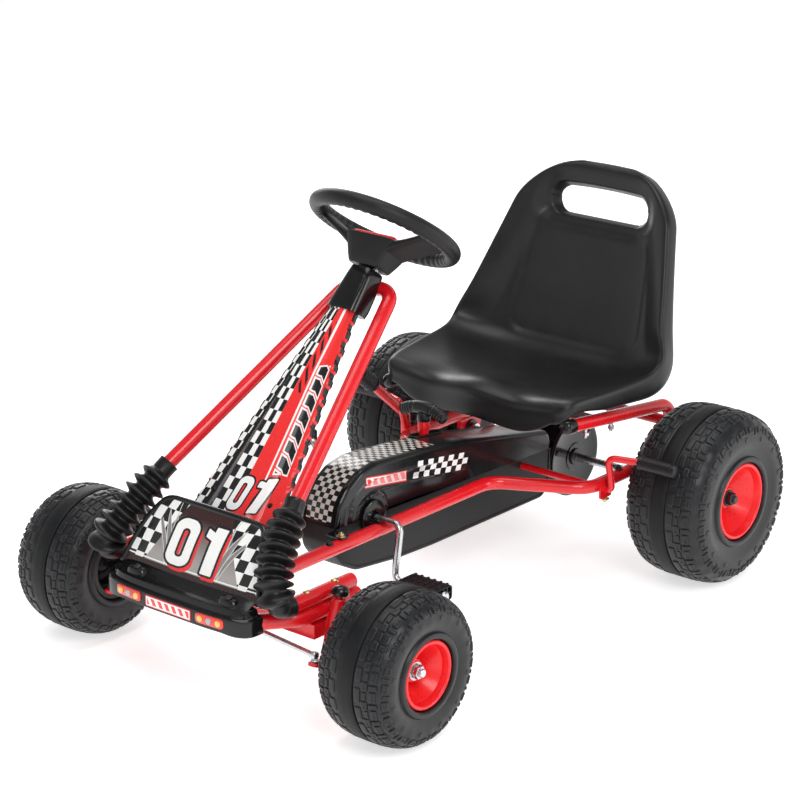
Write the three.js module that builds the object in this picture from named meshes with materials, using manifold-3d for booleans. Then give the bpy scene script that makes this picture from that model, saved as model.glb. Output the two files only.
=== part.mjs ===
// Child's pedal go kart, in millimetres: +Z up, front at -Y, driver's left at +X.
// Origin: on the ground, at the middle of the kart's length and width.
import * as THREE from "three";
import { mergeVertices } from "three/addons/utils/BufferGeometryUtils.js";
import Module from "manifold-3d";

const wasm = await Module();
wasm.setup();

// ---------- driving dimensions ----------
const GAP = 0.4; // air between touching pieces
const FIT = 0.5; // radial clearance of a turning fit
const SLIP = 1; // looser clearance round a rod that passes through a cover

const FRONT_AXLE_Y = -353;
const REAR_AXLE_Y = 353;
const FRONT_WHEEL = { x: 270, tyreR: 101, width: 111, lipR: 45, boreR: 39, axleR: 6 };
const REAR_WHEEL = { x: 262, tyreR: 127, width: 128, lipR: 56, boreR: 50, axleR: 6 };
const HUB_INSET = 26; // hub's outer face, inwards from the tyre's side

const TUBE_R = 11; // front hoop
const RAIL_R = 9.5; // main rails
const SEAT_RAIL_R = 9.5;
const DRILL = 200; // half-length of a tool that bores right across the kart
const RAIL_X = 50;
const RAIL_Z = 157;
const FLARE_X = 170;
const FLARE_Y = [118, 192];
const RAIL_REAR_Z = 155;
const RAIL_END_Y = [-444, 417];

const HOOP_Z = 142.5;
const HOOP_X = 150;
const HOOP_FRONT_Y = -455;
const HOOP_END_Y = -288;

const ARCH_FOOT_Z = 164.5;
const ARCH_FOOT_END_Y = -298;

const WHEEL_CENTRE = V(0, -57, 553); // steering wheel ring
const COLUMN_TILT = 35; // degrees from vertical
const COLUMN_R = 8;
const RIM_RING_R = 97;
const RIM_TUBE_R = 11;

const KINGPIN_X = 173;
const KINGPIN_Y = -365; // where its axis crosses the front axle's height
const KINGPIN_CASTER = 15; // degrees, top leaning back
const KINGPIN_R = 5;
const KINGPIN_HOUSING = { from: 15, to: 62, r: 10 };
const TIE_ROD_R = 4;
const STEER_ARM = 35; // kingpin axis to the tie rod
const PITMAN_S = 563; // distance down the column axis
const PITMAN_ARM = 19;

const CRANK_Y = -116;
const CRANK_Z = 168;
const CRANK_ROD_R = 5;
const CRANK_ARM = 78;
const CRANK_LEAN = 9; // degrees, near pedal forward of straight down
const CRANK_ARM_X = 80;
const PEDAL_X = [97, 163];

const CASE_HALF = 32;
const CASE_WALL = 3;
const SPROCKET_R = { front: 53, rear: 29 };
const CHAIN_WIDTH = 6;
const CHAIN_HEIGHT = 6;

const BRAKE_Y = 222;
const BRAKE_Z = 148;
const BRAKE_R = 5;
const BRAKE_ARM_X = 189;
const SLEEVE_X = [238, 285];
const SLEEVE_Y = 229;
const SLEEVE_Z = 198;

const SELECTOR = { x: -24, y: 60, pivotZ: 186, topZ: 262 };

const SEAT_RAIL_X = 160;
const SEAT_RAIL_FRONT = [146, 256];
const SEAT_RAIL_BACK = [405, 226];
const REAR_TUBE = { y: 405, z: 198, r: 8 };

// ---------- materials ----------
function paint(color, roughness, metalness = 0) {
  return new THREE.MeshStandardMaterial({ color, roughness, metalness });
}
const RED = paint(0xd1101c, 0.3, 0.1);
const BLACK_GLOSS = paint(0x141416, 0.25);
const BLACK_MATTE = paint(0x1d1d1f, 0.6);
const RUBBER = paint(0x18181a, 0.8);
const RED_PLASTIC = paint(0xe01424, 0.35);
const STEEL = paint(0xb8bcc0, 0.3, 0.9);
const DARK_STEEL = paint(0x45484c, 0.45, 0.8);
const PRINT = paint(0xb9b4b2, 0.35);

// ---------- small helpers ----------
function V(x, y, z) {
  return new THREE.Vector3(x, y, z);
}
function radians(degrees) {
  return (degrees * Math.PI) / 180;
}

const kart = new THREE.Group();
function addPart(name, geometry, material) {
  const mesh = new THREE.Mesh(geometry, material.clone());
  mesh.name = name;
  kart.add(mesh);
  return mesh;
}

function toSolid(geometry) {
  const bare = geometry.index ? geometry.toNonIndexed() : geometry.clone();
  bare.deleteAttribute("normal");
  bare.deleteAttribute("uv");
  const merged = mergeVertices(bare, 1e-3);
  const solid = new wasm.Manifold(
    new wasm.Mesh({
      numProp: 3,
      vertProperties: merged.attributes.position.array,
      triVerts: new Uint32Array(merged.index.array),
    }),
  );
  if (solid.volume() > 0) return solid;
  const flipped = new Uint32Array(merged.index.array);
  for (let i = 0; i < flipped.length; i += 3) {
    const first = flipped[i];
    flipped[i] = flipped[i + 1];
    flipped[i + 1] = first;
  }
  return new wasm.Manifold(
    new wasm.Mesh({
      numProp: 3,
      vertProperties: merged.attributes.position.array,
      triVerts: flipped,
    }),
  );
}
function toGeometry(solid) {
  const mesh = solid.getMesh();
  const geometry = new THREE.BufferGeometry();
  geometry.setAttribute("position", new THREE.BufferAttribute(mesh.vertProperties, 3));
  geometry.setIndex(new THREE.BufferAttribute(mesh.triVerts, 1));
  const faceted = geometry.toNonIndexed();
  faceted.computeVertexNormals();
  return faceted;
}
function join(...geometries) {
  return toGeometry(geometries.map(toSolid).reduce((all, next) => all.add(next)));
}
function cut(geometry, ...tools) {
  return toGeometry(tools.map(toSolid).reduce((left, tool) => left.subtract(tool), toSolid(geometry)));
}

function ringShape(radius, sides) {
  const corners = [];
  for (let i = 0; i < sides; i++) {
    const angle = (2 * Math.PI * (i + 0.5)) / sides;
    corners.push(new THREE.Vector2(radius * Math.cos(angle), radius * Math.sin(angle)));
  }
  return new THREE.Shape(corners);
}

// A bent tube's centreline: straight between its points, with an arc of a given radius at each corner.
class BentPath extends THREE.Curve {
  constructor(corners, bendRadius, arcSteps = 4) {
    super();
    this.stops = [corners[0]];
    this.headings = [corners[1].clone().sub(corners[0]).normalize()];
    for (let i = 1; i < corners.length - 1; i++) {
      this.addBend(corners, i, Array.isArray(bendRadius) ? bendRadius[i - 1] : bendRadius, arcSteps);
    }
    this.stops.push(corners.at(-1));
    this.headings.push(corners.at(-1).clone().sub(corners.at(-2)).normalize());
  }
  addBend(corners, i, bendRadius, arcSteps) {
    const into = corners[i].clone().sub(corners[i - 1]).normalize();
    const out = corners[i + 1].clone().sub(corners[i]).normalize();
    const turn = into.angleTo(out);
    const setback = bendRadius * Math.tan(turn / 2);
    const start = corners[i].clone().addScaledVector(into, -setback);
    const side = out.clone().addScaledVector(into, -Math.cos(turn)).normalize();
    for (let k = 0; k <= arcSteps; k++) {
      const angle = (turn * k) / arcSteps;
      const along = bendRadius * Math.sin(angle);
      const across = bendRadius * (1 - Math.cos(angle));
      this.stops.push(start.clone().addScaledVector(into, along).addScaledVector(side, across));
      const heading = into.clone().multiplyScalar(Math.cos(angle));
      this.headings.push(heading.addScaledVector(side, Math.sin(angle)).normalize());
    }
  }
  get steps() {
    return this.stops.length - 1;
  }
  getPointAt(u) {
    return this.stops[Math.round(u * this.steps)].clone();
  }
  getTangentAt(u) {
    return this.headings[Math.round(u * this.steps)].clone();
  }
}
function tubeAlong(path, radius, sides, steps) {
  const options = { steps, extrudePath: path, bevelEnabled: false };
  return new THREE.ExtrudeGeometry(ringShape(radius, sides), options);
}
function bentTube(corners, radius, bendRadius, sides = 10, arcSteps = 4) {
  const path = new BentPath(corners, bendRadius, arcSteps);
  return tubeAlong(path, radius, sides, path.steps);
}
function straightTube(from, to, radius, sides = 12) {
  return tubeAlong(new THREE.LineCurve3(from, to), radius, sides, 1);
}
function smoothTube(points, radius, sides, steps) {
  return tubeAlong(new THREE.CatmullRomCurve3(points, false, "centripetal"), radius, sides, steps);
}
function mirrored(points) {
  return points.map((p) => V(-p.x, p.y, p.z));
}

// A turned piece from an outline of [radius, distance along the axis] points.
function turned(outline, segments) {
  const points = outline.map(([r, along]) => new THREE.Vector2(r, along));
  if (THREE.ShapeUtils.area(points) < 0) points.reverse();
  return new THREE.LatheGeometry(points, segments);
}
// Turns a piece whose axis is Y to lie along a direction, then moves it.
function aimed(geometry, direction, at) {
  const turn = new THREE.Quaternion().setFromUnitVectors(V(0, 1, 0), direction.clone().normalize());
  return geometry.applyQuaternion(turn).translate(at.x, at.y, at.z);
}
function box(width, depth, height, at) {
  return new THREE.BoxGeometry(width, depth, height).translate(at.x, at.y, at.z);
}
// A plate cut from a side-view outline of [y, z] points, reaching from x0 to x1.
function sidePlate(outline, x0, x1) {
  const shape = new THREE.Shape(outline.map(([y, z]) => new THREE.Vector2(y, z)));
  const geometry = new THREE.ExtrudeGeometry(shape, { depth: x1 - x0, bevelEnabled: false });
  const toSide = new THREE.Matrix4().makeBasis(V(0, 1, 0), V(0, 0, 1), V(1, 0, 0));
  return geometry.applyMatrix4(toSide).translate(x0, 0, 0);
}
function arcPoints(centreA, centreB, radius, fromDeg, toDeg, steps) {
  const points = [];
  for (let i = 0; i <= steps; i++) {
    const angle = radians(fromDeg + ((toDeg - fromDeg) * i) / steps);
    points.push([centreA + radius * Math.cos(angle), centreB + radius * Math.sin(angle)]);
  }
  return points;
}
// Moves each side of a closed outline inwards by a wall thickness (outline runs anticlockwise).
function inset(outline, wall) {
  const count = outline.length;
  return outline.map((point, i) => {
    const before = outline[(i + count - 1) % count];
    const after = outline[(i + 1) % count];
    const a = new THREE.Vector2(point[0] - before[0], point[1] - before[1]).normalize();
    const b = new THREE.Vector2(after[0] - point[0], after[1] - point[1]).normalize();
    const bisector = new THREE.Vector2(-(a.y + b.y), a.x + b.x).normalize();
    const reach = wall / Math.max(0.4, bisector.dot(new THREE.Vector2(-a.y, a.x)));
    return [point[0] + bisector.x * reach, point[1] + bisector.y * reach];
  });
}

// The steering column's own frame: down the axis, forward across it, and sideways.
const COLUMN_DOWN = V(0, -Math.sin(radians(COLUMN_TILT)), -Math.cos(radians(COLUMN_TILT)));
const COLUMN_FORWARD = V(0, -Math.cos(radians(COLUMN_TILT)), Math.sin(radians(COLUMN_TILT)));
function onColumn(down, forward = 0, side = 0) {
  const point = WHEEL_CENTRE.clone().addScaledVector(COLUMN_DOWN, down);
  return point.addScaledVector(COLUMN_FORWARD, forward).add(V(side, 0, 0));
}
const KINGPIN_UP = V(0, Math.sin(radians(KINGPIN_CASTER)), Math.cos(radians(KINGPIN_CASTER)));
function onKingpin(side, up, forward = 0, out = 0) {
  const base = V(side * (KINGPIN_X + out), KINGPIN_Y, FRONT_WHEEL.tyreR);
  const ahead = V(0, -KINGPIN_UP.z, KINGPIN_UP.y);
  return base.addScaledVector(KINGPIN_UP, up).addScaledVector(ahead, forward);
}
const SIDES = [
  ["left", 1],
  ["right", -1],
];

// ---------- frame tubes ----------
function mainRail(side) {
  const corners = [
    V(RAIL_X, RAIL_END_Y[0], RAIL_Z),
    V(RAIL_X, FLARE_Y[0], RAIL_Z),
    V(FLARE_X, FLARE_Y[1], RAIL_REAR_Z),
    V(FLARE_X, RAIL_END_Y[1], RAIL_REAR_Z),
  ];
  const points = side > 0 ? corners : mirrored(corners);
  const crankLine = [V(-DRILL, CRANK_Y, CRANK_Z), V(DRILL, CRANK_Y, CRANK_Z)];
  const crankGroove = straightTube(...crankLine, CRANK_ROD_R + SLIP);
  const brakeHole = straightTube(V(-DRILL, BRAKE_Y, BRAKE_Z), V(DRILL, BRAKE_Y, BRAKE_Z), BRAKE_R + FIT, 10);
  return cut(bentTube(points, RAIL_R, 40), crankGroove, brakeHole);
}
for (const [name, side] of SIDES) addPart(`${name}_main_rail`, mainRail(side), RED);

function hoopCorners() {
  const near = [V(104, HOOP_FRONT_Y, HOOP_Z), V(HOOP_X, -392, HOOP_Z), V(HOOP_X, HOOP_END_Y, HOOP_Z)];
  return [...mirrored(near).reverse(), ...near];
}
addPart("front_hoop", bentTube(hoopCorners(), TUBE_R, 44), RED);

// Inverted U that carries the column; each leg ends in a foot bolted on top of the hoop.
const ARCH_R = 10;
const ARCH_CROWN_Z = 478;
const ARCH_BENDS = [12, 12, 30, 26, 26, 30, 12, 12];
function archPath() {
  const near = [
    V(38, -84, ARCH_CROWN_Z),
    V(117, -382, 262),
    V(149, -441, 190),
    V(151, -425, 166),
    V(HOOP_X, ARCH_FOOT_END_Y, ARCH_FOOT_Z),
  ];
  return [...mirrored(near).reverse(), ...near];
}
function archTube(radius) {
  return bentTube(archPath(), radius, ARCH_BENDS, 10, 3);
}
addPart("steering_arch", archTube(ARCH_R), RED);

// Folded steel beam between the two kingpin housings; the column's lower end turns in its middle.
const BEAM = { y: -363, depth: 38, z: [112, 131], wall: 4, half: 160, webWidth: 40, column: [480, 570] };
function frontAxleBeam() {
  const [low, high] = BEAM.z;
  const height = high - low;
  const beam = box(2 * BEAM.half, BEAM.depth, height, V(0, BEAM.y, (low + high) / 2));
  const hollowWidth = 2 * (BEAM.half - BEAM.wall) - 8;
  const hollow = box(hollowWidth, BEAM.depth - 2 * BEAM.wall, 2 * (height - BEAM.wall), V(0, BEAM.y, low));
  const web = box(BEAM.webWidth, BEAM.depth - 1, height - 0.5, V(0, BEAM.y, (low + high) / 2));
  const [from, to] = BEAM.column;
  const columnHole = straightTube(onColumn(from), onColumn(to), COLUMN_R + SLIP);
  return cut(join(cut(beam, hollow), web), columnHole);
}
addPart("front_axle_beam", frontAxleBeam(), RED);

for (const [name, side] of SIDES) {
  const { from, to, r } = KINGPIN_HOUSING;
  const tube = straightTube(onKingpin(side, from), onKingpin(side, to), r);
  const bore = straightTube(onKingpin(side, from - 5), onKingpin(side, to + 8), KINGPIN_R + FIT);
  addPart(`${name}_kingpin_housing`, cut(tube, bore), RED);
}

for (const [name, side] of SIDES) {
  const [frontY, frontZ] = SEAT_RAIL_FRONT;
  const [backY, backZ] = SEAT_RAIL_BACK;
  const corners = [
    V(SEAT_RAIL_X, frontY, frontZ),
    V(SEAT_RAIL_X, backY, backZ),
    V(SEAT_RAIL_X + 8, backY, RAIL_REAR_Z + RAIL_R + 1),
  ];
  addPart(`${name}_seat_rail`, bentTube(side > 0 ? corners : mirrored(corners), SEAT_RAIL_R, 26), RED);
}
const SEAT_BEAM = { y: 220, z: 243, depth: 30, height: 11 };
const seatBeamLength = 2 * (SEAT_RAIL_X - SEAT_RAIL_R) - 1;
const seatBeam = box(seatBeamLength, SEAT_BEAM.depth, SEAT_BEAM.height, V(0, SEAT_BEAM.y, SEAT_BEAM.z));
addPart("seat_cross_beam", seatBeam, RED);
const rearTieX = SEAT_RAIL_X + 2 - SEAT_RAIL_R;
const rearTie = [V(-rearTieX, REAR_TUBE.y, REAR_TUBE.z), V(rearTieX, REAR_TUBE.y, REAR_TUBE.z)];
addPart("rear_cross_tube", straightTube(...rearTie, REAR_TUBE.r), RED);

const BEARING_R = 14;
const BEARING_HALF = 6;
const PLATE_HALF = 3;
for (const [name, side] of SIDES) {
  const underRail = RAIL_REAR_Z - RAIL_R - 0.5;
  const outline = [
    [REAR_AXLE_Y - 28, underRail],
    [REAR_AXLE_Y - 20, 112],
    [REAR_AXLE_Y - 10, 103],
    [REAR_AXLE_Y + 10, 103],
    [REAR_AXLE_Y + 20, 112],
    [REAR_AXLE_Y + 28, underRail],
  ];
  const centre = V(side * FLARE_X, REAR_AXLE_Y, REAR_WHEEL.tyreR);
  const seatTool = new THREE.CylinderGeometry(BEARING_R + GAP, BEARING_R + GAP, 30, 16);
  const seat = aimed(seatTool, V(1, 0, 0), centre);
  const plate = sidePlate(outline, centre.x - PLATE_HALF, centre.x + PLATE_HALF);
  addPart(`${name}_axle_plate`, cut(plate, seat), RED);
  const bearing = turned(
    [
      [REAR_WHEEL.axleR + FIT, -BEARING_HALF],
      [BEARING_R, -BEARING_HALF],
      [BEARING_R, BEARING_HALF],
      [REAR_WHEEL.axleR + FIT, BEARING_HALF],
      [REAR_WHEEL.axleR + FIT, -BEARING_HALF],
    ],
    16,
  );
  addPart(`${name}_axle_bearing`, aimed(bearing, V(1, 0, 0), centre), DARK_STEEL);
}

// ---------- wheels ----------
// Tyre section: a squarish superellipse crown over straight sides that step in over the rim's lip.
const BEAD = 9; // width of the tyre's bead against the rim
function tyreOutline({ tyreR, width, lipR, boreR }, squareness, crownSteps = 3) {
  const half = width / 2;
  const sideR = lipR + 0.45 * (tyreR - lipR);
  const outline = [];
  for (let i = 0; i <= 2 * crownSteps; i++) {
    const angle = (Math.PI * i) / (2 * crownSteps);
    const across = Math.cos(angle);
    const rise = Math.sin(angle);
    const x = half * Math.sign(across) * Math.abs(across) ** (2 / squareness);
    outline.push([sideR + (tyreR - sideR) * rise ** (2 / squareness), x]);
  }
  outline.push([lipR + 1, -half + 2], [lipR + 1, -half + BEAD], [boreR, -half + BEAD]);
  outline.push([boreR, half - BEAD], [lipR + 1, half - BEAD], [lipR + 1, half - 2], outline[0]);
  return outline;
}
// Dished rim: lip outside, cone down to a flat web, hub boss in the middle, open barrel behind.
function rimOutline({ width, lipR, boreR, axleR }, hubOut) {
  const half = width / 2;
  const barrel = boreR - GAP;
  const bore = axleR + FIT;
  const lipBack = half - BEAD + 0.6;
  return [
    [bore, -20],
    [14, -20],
    [15, -4],
    [barrel - 6, -4],
    [barrel - 4, -half + 5],
    [lipR, -half + 5],
    [lipR, -lipBack],
    [barrel, -lipBack],
    [barrel, lipBack],
    [lipR, lipBack],
    [lipR, half - 3],
    [barrel - 3, half - 5],
    [barrel - 10, 14],
    [19, 10],
    [15, hubOut],
    [bore, hubOut],
    [bore, -20],
  ];
}
function wheelParts(prefix, side, spec, y, squareness, segments) {
  const centre = V(side * spec.x, y, spec.tyreR);
  const outwards = V(side, 0, 0);
  const hubOut = spec.width / 2 - HUB_INSET;
  addPart(`${prefix}_tyre`, aimed(turned(tyreOutline(spec, squareness), segments), outwards, centre), RUBBER);
  addPart(`${prefix}_rim`, aimed(turned(rimOutline(spec, hubOut), 20), outwards, centre), RED_PLASTIC);
  const nut = turned(
    [
      [0, 0],
      [9, 0],
      [9, 7],
      [5, 10],
      [0, 10],
    ],
    6,
  );
  const shaftEnd = centre.clone().addScaledVector(outwards, hubOut + 1);
  return { nut: aimed(nut, outwards, shaftEnd), axleTip: shaftEnd.addScaledVector(outwards, -GAP) };
}
for (const [name, side] of SIDES) {
  const { nut } = wheelParts(`front_${name}`, side, FRONT_WHEEL, FRONT_AXLE_Y, 2.7, 26);
  addPart(`front_${name}_hub_nut`, nut, STEEL);
}
const rearTips = [];
for (const [name, side] of SIDES) {
  const { nut, axleTip } = wheelParts(`rear_${name}`, side, REAR_WHEEL, REAR_AXLE_Y, 3.25, 30);
  addPart(`rear_${name}_hub_nut`, nut, DARK_STEEL);
  rearTips.push(axleTip);
}
addPart("rear_axle", straightTube(rearTips[1], rearTips[0], REAR_WHEEL.axleR), STEEL);

// ---------- steering ----------
function steeringWheel() {
  const ring = new THREE.TorusGeometry(RIM_RING_R, RIM_TUBE_R, 8, 28);
  ring.rotateX(Math.PI / 2);
  const hub = turned(
    [
      [0, 10],
      [36, 10],
      [33, 22],
      [22, 58],
      [COLUMN_R + GAP, 58],
      [COLUMN_R + GAP, 36],
      [0, 36],
    ],
    16,
  );
  const spokes = [-1, 1].map((side) => {
    const spoke = new THREE.BoxGeometry(66, 9, 40).rotateZ(-side * radians(14));
    return spoke.translate(side * 60, 12, 0);
  });
  return aimed(join(ring, hub, ...spokes), COLUMN_DOWN, WHEEL_CENTRE);
}
addPart("steering_wheel", steeringWheel(), BLACK_MATTE);
addPart("wheel_badge", aimed(box(76, 9, 38, V(0, 5, -5)), COLUMN_DOWN, WHEEL_CENTRE), RED_PLASTIC);

function steeringColumn() {
  const shaft = straightTube(onColumn(37), onColumn(PITMAN_S + 5), COLUMN_R);
  const plate = new THREE.BoxGeometry(38, 4, PITMAN_ARM + 24).translate(0, 0, (PITMAN_ARM + 6) / 2 - 3);
  const basis = new THREE.Matrix4().makeBasis(V(-1, 0, 0), COLUMN_DOWN, COLUMN_FORWARD);
  plate.applyMatrix4(basis).translate(...onColumn(PITMAN_S).toArray());
  return join(shaft, plate);
}
addPart("steering_column", steeringColumn(), STEEL);

// Black moulded housing where the column passes the arch's crown.
function columnCollar() {
  const sleeve = turned(
    [
      [COLUMN_R + FIT, 61],
      [16, 61],
      [19, 70],
      [21, 112],
      [COLUMN_R + FIT, 112],
      [COLUMN_R + FIT, 61],
    ],
    12,
  );
  const archClearance = archTube(ARCH_R + GAP);
  return cut(aimed(sleeve, COLUMN_DOWN, WHEEL_CENTRE), archClearance);
}
addPart("column_collar", columnCollar(), BLACK_MATTE);

const CAP_DOME = [
  [0, 0],
  [11.4, 0],
  [11.8, 4],
  [10.3, 9],
  [5.8, 12],
  [0, 13],
];
for (const [name, side] of SIDES) {
  const pin = straightTube(onKingpin(side, -6), onKingpin(side, KINGPIN_HOUSING.to + 4), KINGPIN_R);
  const barrel = straightTube(onKingpin(side, -17), onKingpin(side, KINGPIN_HOUSING.from - 0.6), 11);
  const start = V(side * KINGPIN_X, FRONT_AXLE_Y, FRONT_WHEEL.tyreR);
  const hubOut = FRONT_WHEEL.width / 2 - HUB_INSET;
  const spindleTip = V(side * (FRONT_WHEEL.x + hubOut + 0.6), FRONT_AXLE_Y, FRONT_WHEEL.tyreR);
  const spindle = straightTube(start, spindleTip, FRONT_WHEEL.axleR);
  const arm = new THREE.BoxGeometry(18, 4, STEER_ARM + 22).translate(0, 0, STEER_ARM / 2 + 8);
  const ahead = V(side * 0.2, -KINGPIN_UP.z, KINGPIN_UP.y).normalize();
  const across = new THREE.Vector3().crossVectors(KINGPIN_UP, ahead).normalize();
  arm.applyMatrix4(new THREE.Matrix4().makeBasis(across, KINGPIN_UP, ahead));
  arm.translate(...onKingpin(side, -15).toArray());
  const cap = aimed(turned(CAP_DOME, 12), KINGPIN_UP, onKingpin(side, KINGPIN_HOUSING.to + 4.5));
  addPart(`${name}_knuckle`, join(pin, barrel, spindle, arm), RED);
  addPart(`${name}_kingpin_cap`, cap, BLACK_GLOSS);
}

for (const [name, side] of SIDES) {
  const outer = onKingpin(side, TIE_ROD_R - 12.4, STEER_ARM, 7);
  const inner = onColumn(PITMAN_S - 8, PITMAN_ARM, side * 10);
  addPart(`${name}_tie_rod`, straightTube(outer, inner, TIE_ROD_R, 8), STEEL);
}

// ---------- covers at the front ----------
const BOOT_R = 25;
for (const [name, side] of SIDES) {
  const route = [V(114, -371, 269), V(121, -398, 248), V(134, -424, 222), V(147, -439, 197)];
  const points = side > 0 ? route : mirrored(route);
  const clearance = archTube(ARCH_R + GAP);
  addPart(`${name}_boot`, cut(smoothTube(points, BOOT_R, 12, 6), clearance), RUBBER);
}

// Fairing between the arch's legs: flat outline seen along its slope, with a raised middle.
const PANEL_BOTTOM = V(0, -361, 226);
const PANEL_PLATE = { topHalf: 20, bottomHalf: 74.5, depth: 5 };
const PANEL_RIDGE = { topHalf: 10, bottomHalf: 34, depth: 13 };
function taperedSlab({ topHalf, bottomHalf, depth }, length) {
  const corners = [
    [-topHalf, 0],
    [-bottomHalf, length],
    [bottomHalf, length],
    [topHalf, 0],
  ];
  const shape = new THREE.Shape(corners.map(([x, y]) => new THREE.Vector2(x, y)));
  return new THREE.ExtrudeGeometry(shape, { depth, bevelEnabled: false });
}
function columnPanel() {
  const top = onColumn(117, 14);
  const along = PANEL_BOTTOM.clone().sub(top);
  const plate = taperedSlab(PANEL_PLATE, along.length());
  const raised = taperedSlab(PANEL_RIDGE, along.length());
  const down = along.normalize();
  const basis = new THREE.Matrix4().makeBasis(V(-1, 0, 0), down, V(-1, 0, 0).cross(down));
  return join(plate, raised).applyMatrix4(basis).translate(top.x, top.y, top.z);
}
addPart("column_panel", columnPanel(), PRINT);

// Bowed number panel across the nose.
const NOSE = { top: [-391, 247], foot: [-440, 171], bow: 10, half: 125, rows: 5, wall: [3, -2] };
function nosePanel() {
  const outer = [];
  const inner = [];
  for (let i = 0; i <= NOSE.rows; i++) {
    const t = i / NOSE.rows;
    const y = THREE.MathUtils.lerp(NOSE.top[0], NOSE.foot[0], t);
    const z = THREE.MathUtils.lerp(NOSE.top[1], NOSE.foot[1], t) + NOSE.bow * Math.sin(Math.PI * t);
    outer.push([y, z]);
    inner.unshift([y + NOSE.wall[0], z + NOSE.wall[1]]);
  }
  const slab = sidePlate([...outer, ...inner], -NOSE.half, NOSE.half);
  const trimTools = [-1, 1].map((side) => {
    const wedge = new THREE.Shape(
      [
        [120, 160],
        [140, 150],
        [140, 270],
        [82, 262],
      ].map(([x, z]) => new THREE.Vector2(side * x, z)),
    );
    const tool = new THREE.ExtrudeGeometry(wedge, { depth: 120, bevelEnabled: false });
    return tool.rotateX(Math.PI / 2).translate(0, -350, 0);
  });
  const legClearance = archTube(ARCH_R + 2);
  return cut(slab, ...trimTools, legClearance);
}
addPart("nose_panel", nosePanel(), PRINT);

// Bumper: a wrap-round skin in front of the hoop, with a shelf on top and a lip below.
function bumperPlan(front, halfWidth, back) {
  const near = [
    [80, front],
    [105, front + 5],
    [118, front + 14],
    [halfWidth, front + 26],
  ];
  const far = near.map(([x, y]) => [-x, y]).reverse();
  const corners = [...far, ...near, [halfWidth, back], [-halfWidth, back]];
  return new THREE.Shape(corners.map(([x, y]) => new THREE.Vector2(x, y)));
}
const BUMPER = { front: -479, half: 126, back: -444.6, wall: 4, z: [122, 164], lip: 4, shelf: 5 };
const BUMPER_ARCH = { half: 84, z: 131 }; // its lower edge is higher between the two ends
function bumper() {
  const { front, half, back, wall, lip, shelf } = BUMPER;
  const [low, high] = BUMPER.z;
  const depth = high - low;
  const hollowDepth = depth - lip - shelf;
  const skin = new THREE.ExtrudeGeometry(bumperPlan(front, half, back), { depth, bevelEnabled: false });
  const inside = bumperPlan(front + wall, half - wall, back + 43);
  const hollow = new THREE.ExtrudeGeometry(inside, { depth: hollowDepth, bevelEnabled: false });
  const hoopClearance = bentTube(hoopCorners(), TUBE_R + 2 * GAP, 44);
  const archHeight = 2 * (BUMPER_ARCH.z - low);
  const lowerArch = box(2 * BUMPER_ARCH.half, 100, archHeight, V(0, (front + back) / 2, low));
  return cut(skin.translate(0, 0, low), hollow.translate(0, 0, low + lip), hoopClearance, lowerArch);
}
addPart("bumper", bumper(), BLACK_GLOSS);

// ---------- drive ----------
function crankSide(side) {
  const lean = radians(CRANK_LEAN);
  const pedalY = CRANK_Y - side * CRANK_ARM * Math.sin(lean);
  const pedalZ = CRANK_Z - side * CRANK_ARM * Math.cos(lean);
  return { y: pedalY, z: pedalZ };
}
function crankCorners() {
  const near = crankSide(1);
  const far = crankSide(-1);
  return [
    V(-PEDAL_X[1] - 6, far.y, far.z),
    V(-CRANK_ARM_X, far.y, far.z),
    V(-CRANK_ARM_X, CRANK_Y, CRANK_Z),
    V(CRANK_ARM_X, CRANK_Y, CRANK_Z),
    V(CRANK_ARM_X, near.y, near.z),
    V(PEDAL_X[1] + 6, near.y, near.z),
  ];
}
addPart("crank", bentTube(crankCorners(), CRANK_ROD_R, 12, 10, 3), STEEL);
for (const [name, side] of SIDES) {
  const { y, z } = crankSide(side);
  const block = box(PEDAL_X[1] - PEDAL_X[0], 46, 26, V((side * (PEDAL_X[0] + PEDAL_X[1])) / 2, y, z));
  const bore = straightTube(V(side * 60, y, z), V(side * 200, y, z), CRANK_ROD_R + FIT, 10);
  addPart(`${name}_pedal`, cut(block, bore), RUBBER);
}

function sprocket(radius, teeth, bore) {
  const shape = new THREE.Shape();
  for (let i = 0; i < 2 * teeth; i++) {
    const angle = (Math.PI * i) / teeth;
    const r = i % 2 ? radius - 3 : radius;
    if (i) shape.lineTo(r * Math.cos(angle), r * Math.sin(angle));
    else shape.moveTo(r, 0);
  }
  shape.closePath();
  shape.holes.push(ringShape(bore, 10));
  const geometry = new THREE.ExtrudeGeometry(shape, { depth: 4, bevelEnabled: false });
  return geometry.translate(0, 0, -2).rotateY(Math.PI / 2);
}
const frontSprocket = sprocket(SPROCKET_R.front, 26, CRANK_ROD_R + GAP);
addPart("front_sprocket", frontSprocket.translate(0, CRANK_Y, CRANK_Z), DARK_STEEL);
const rearSprocket = sprocket(SPROCKET_R.rear, 14, REAR_WHEEL.axleR + GAP);
addPart("rear_sprocket", rearSprocket.translate(0, REAR_AXLE_Y, REAR_WHEEL.tyreR), DARK_STEEL);

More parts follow.
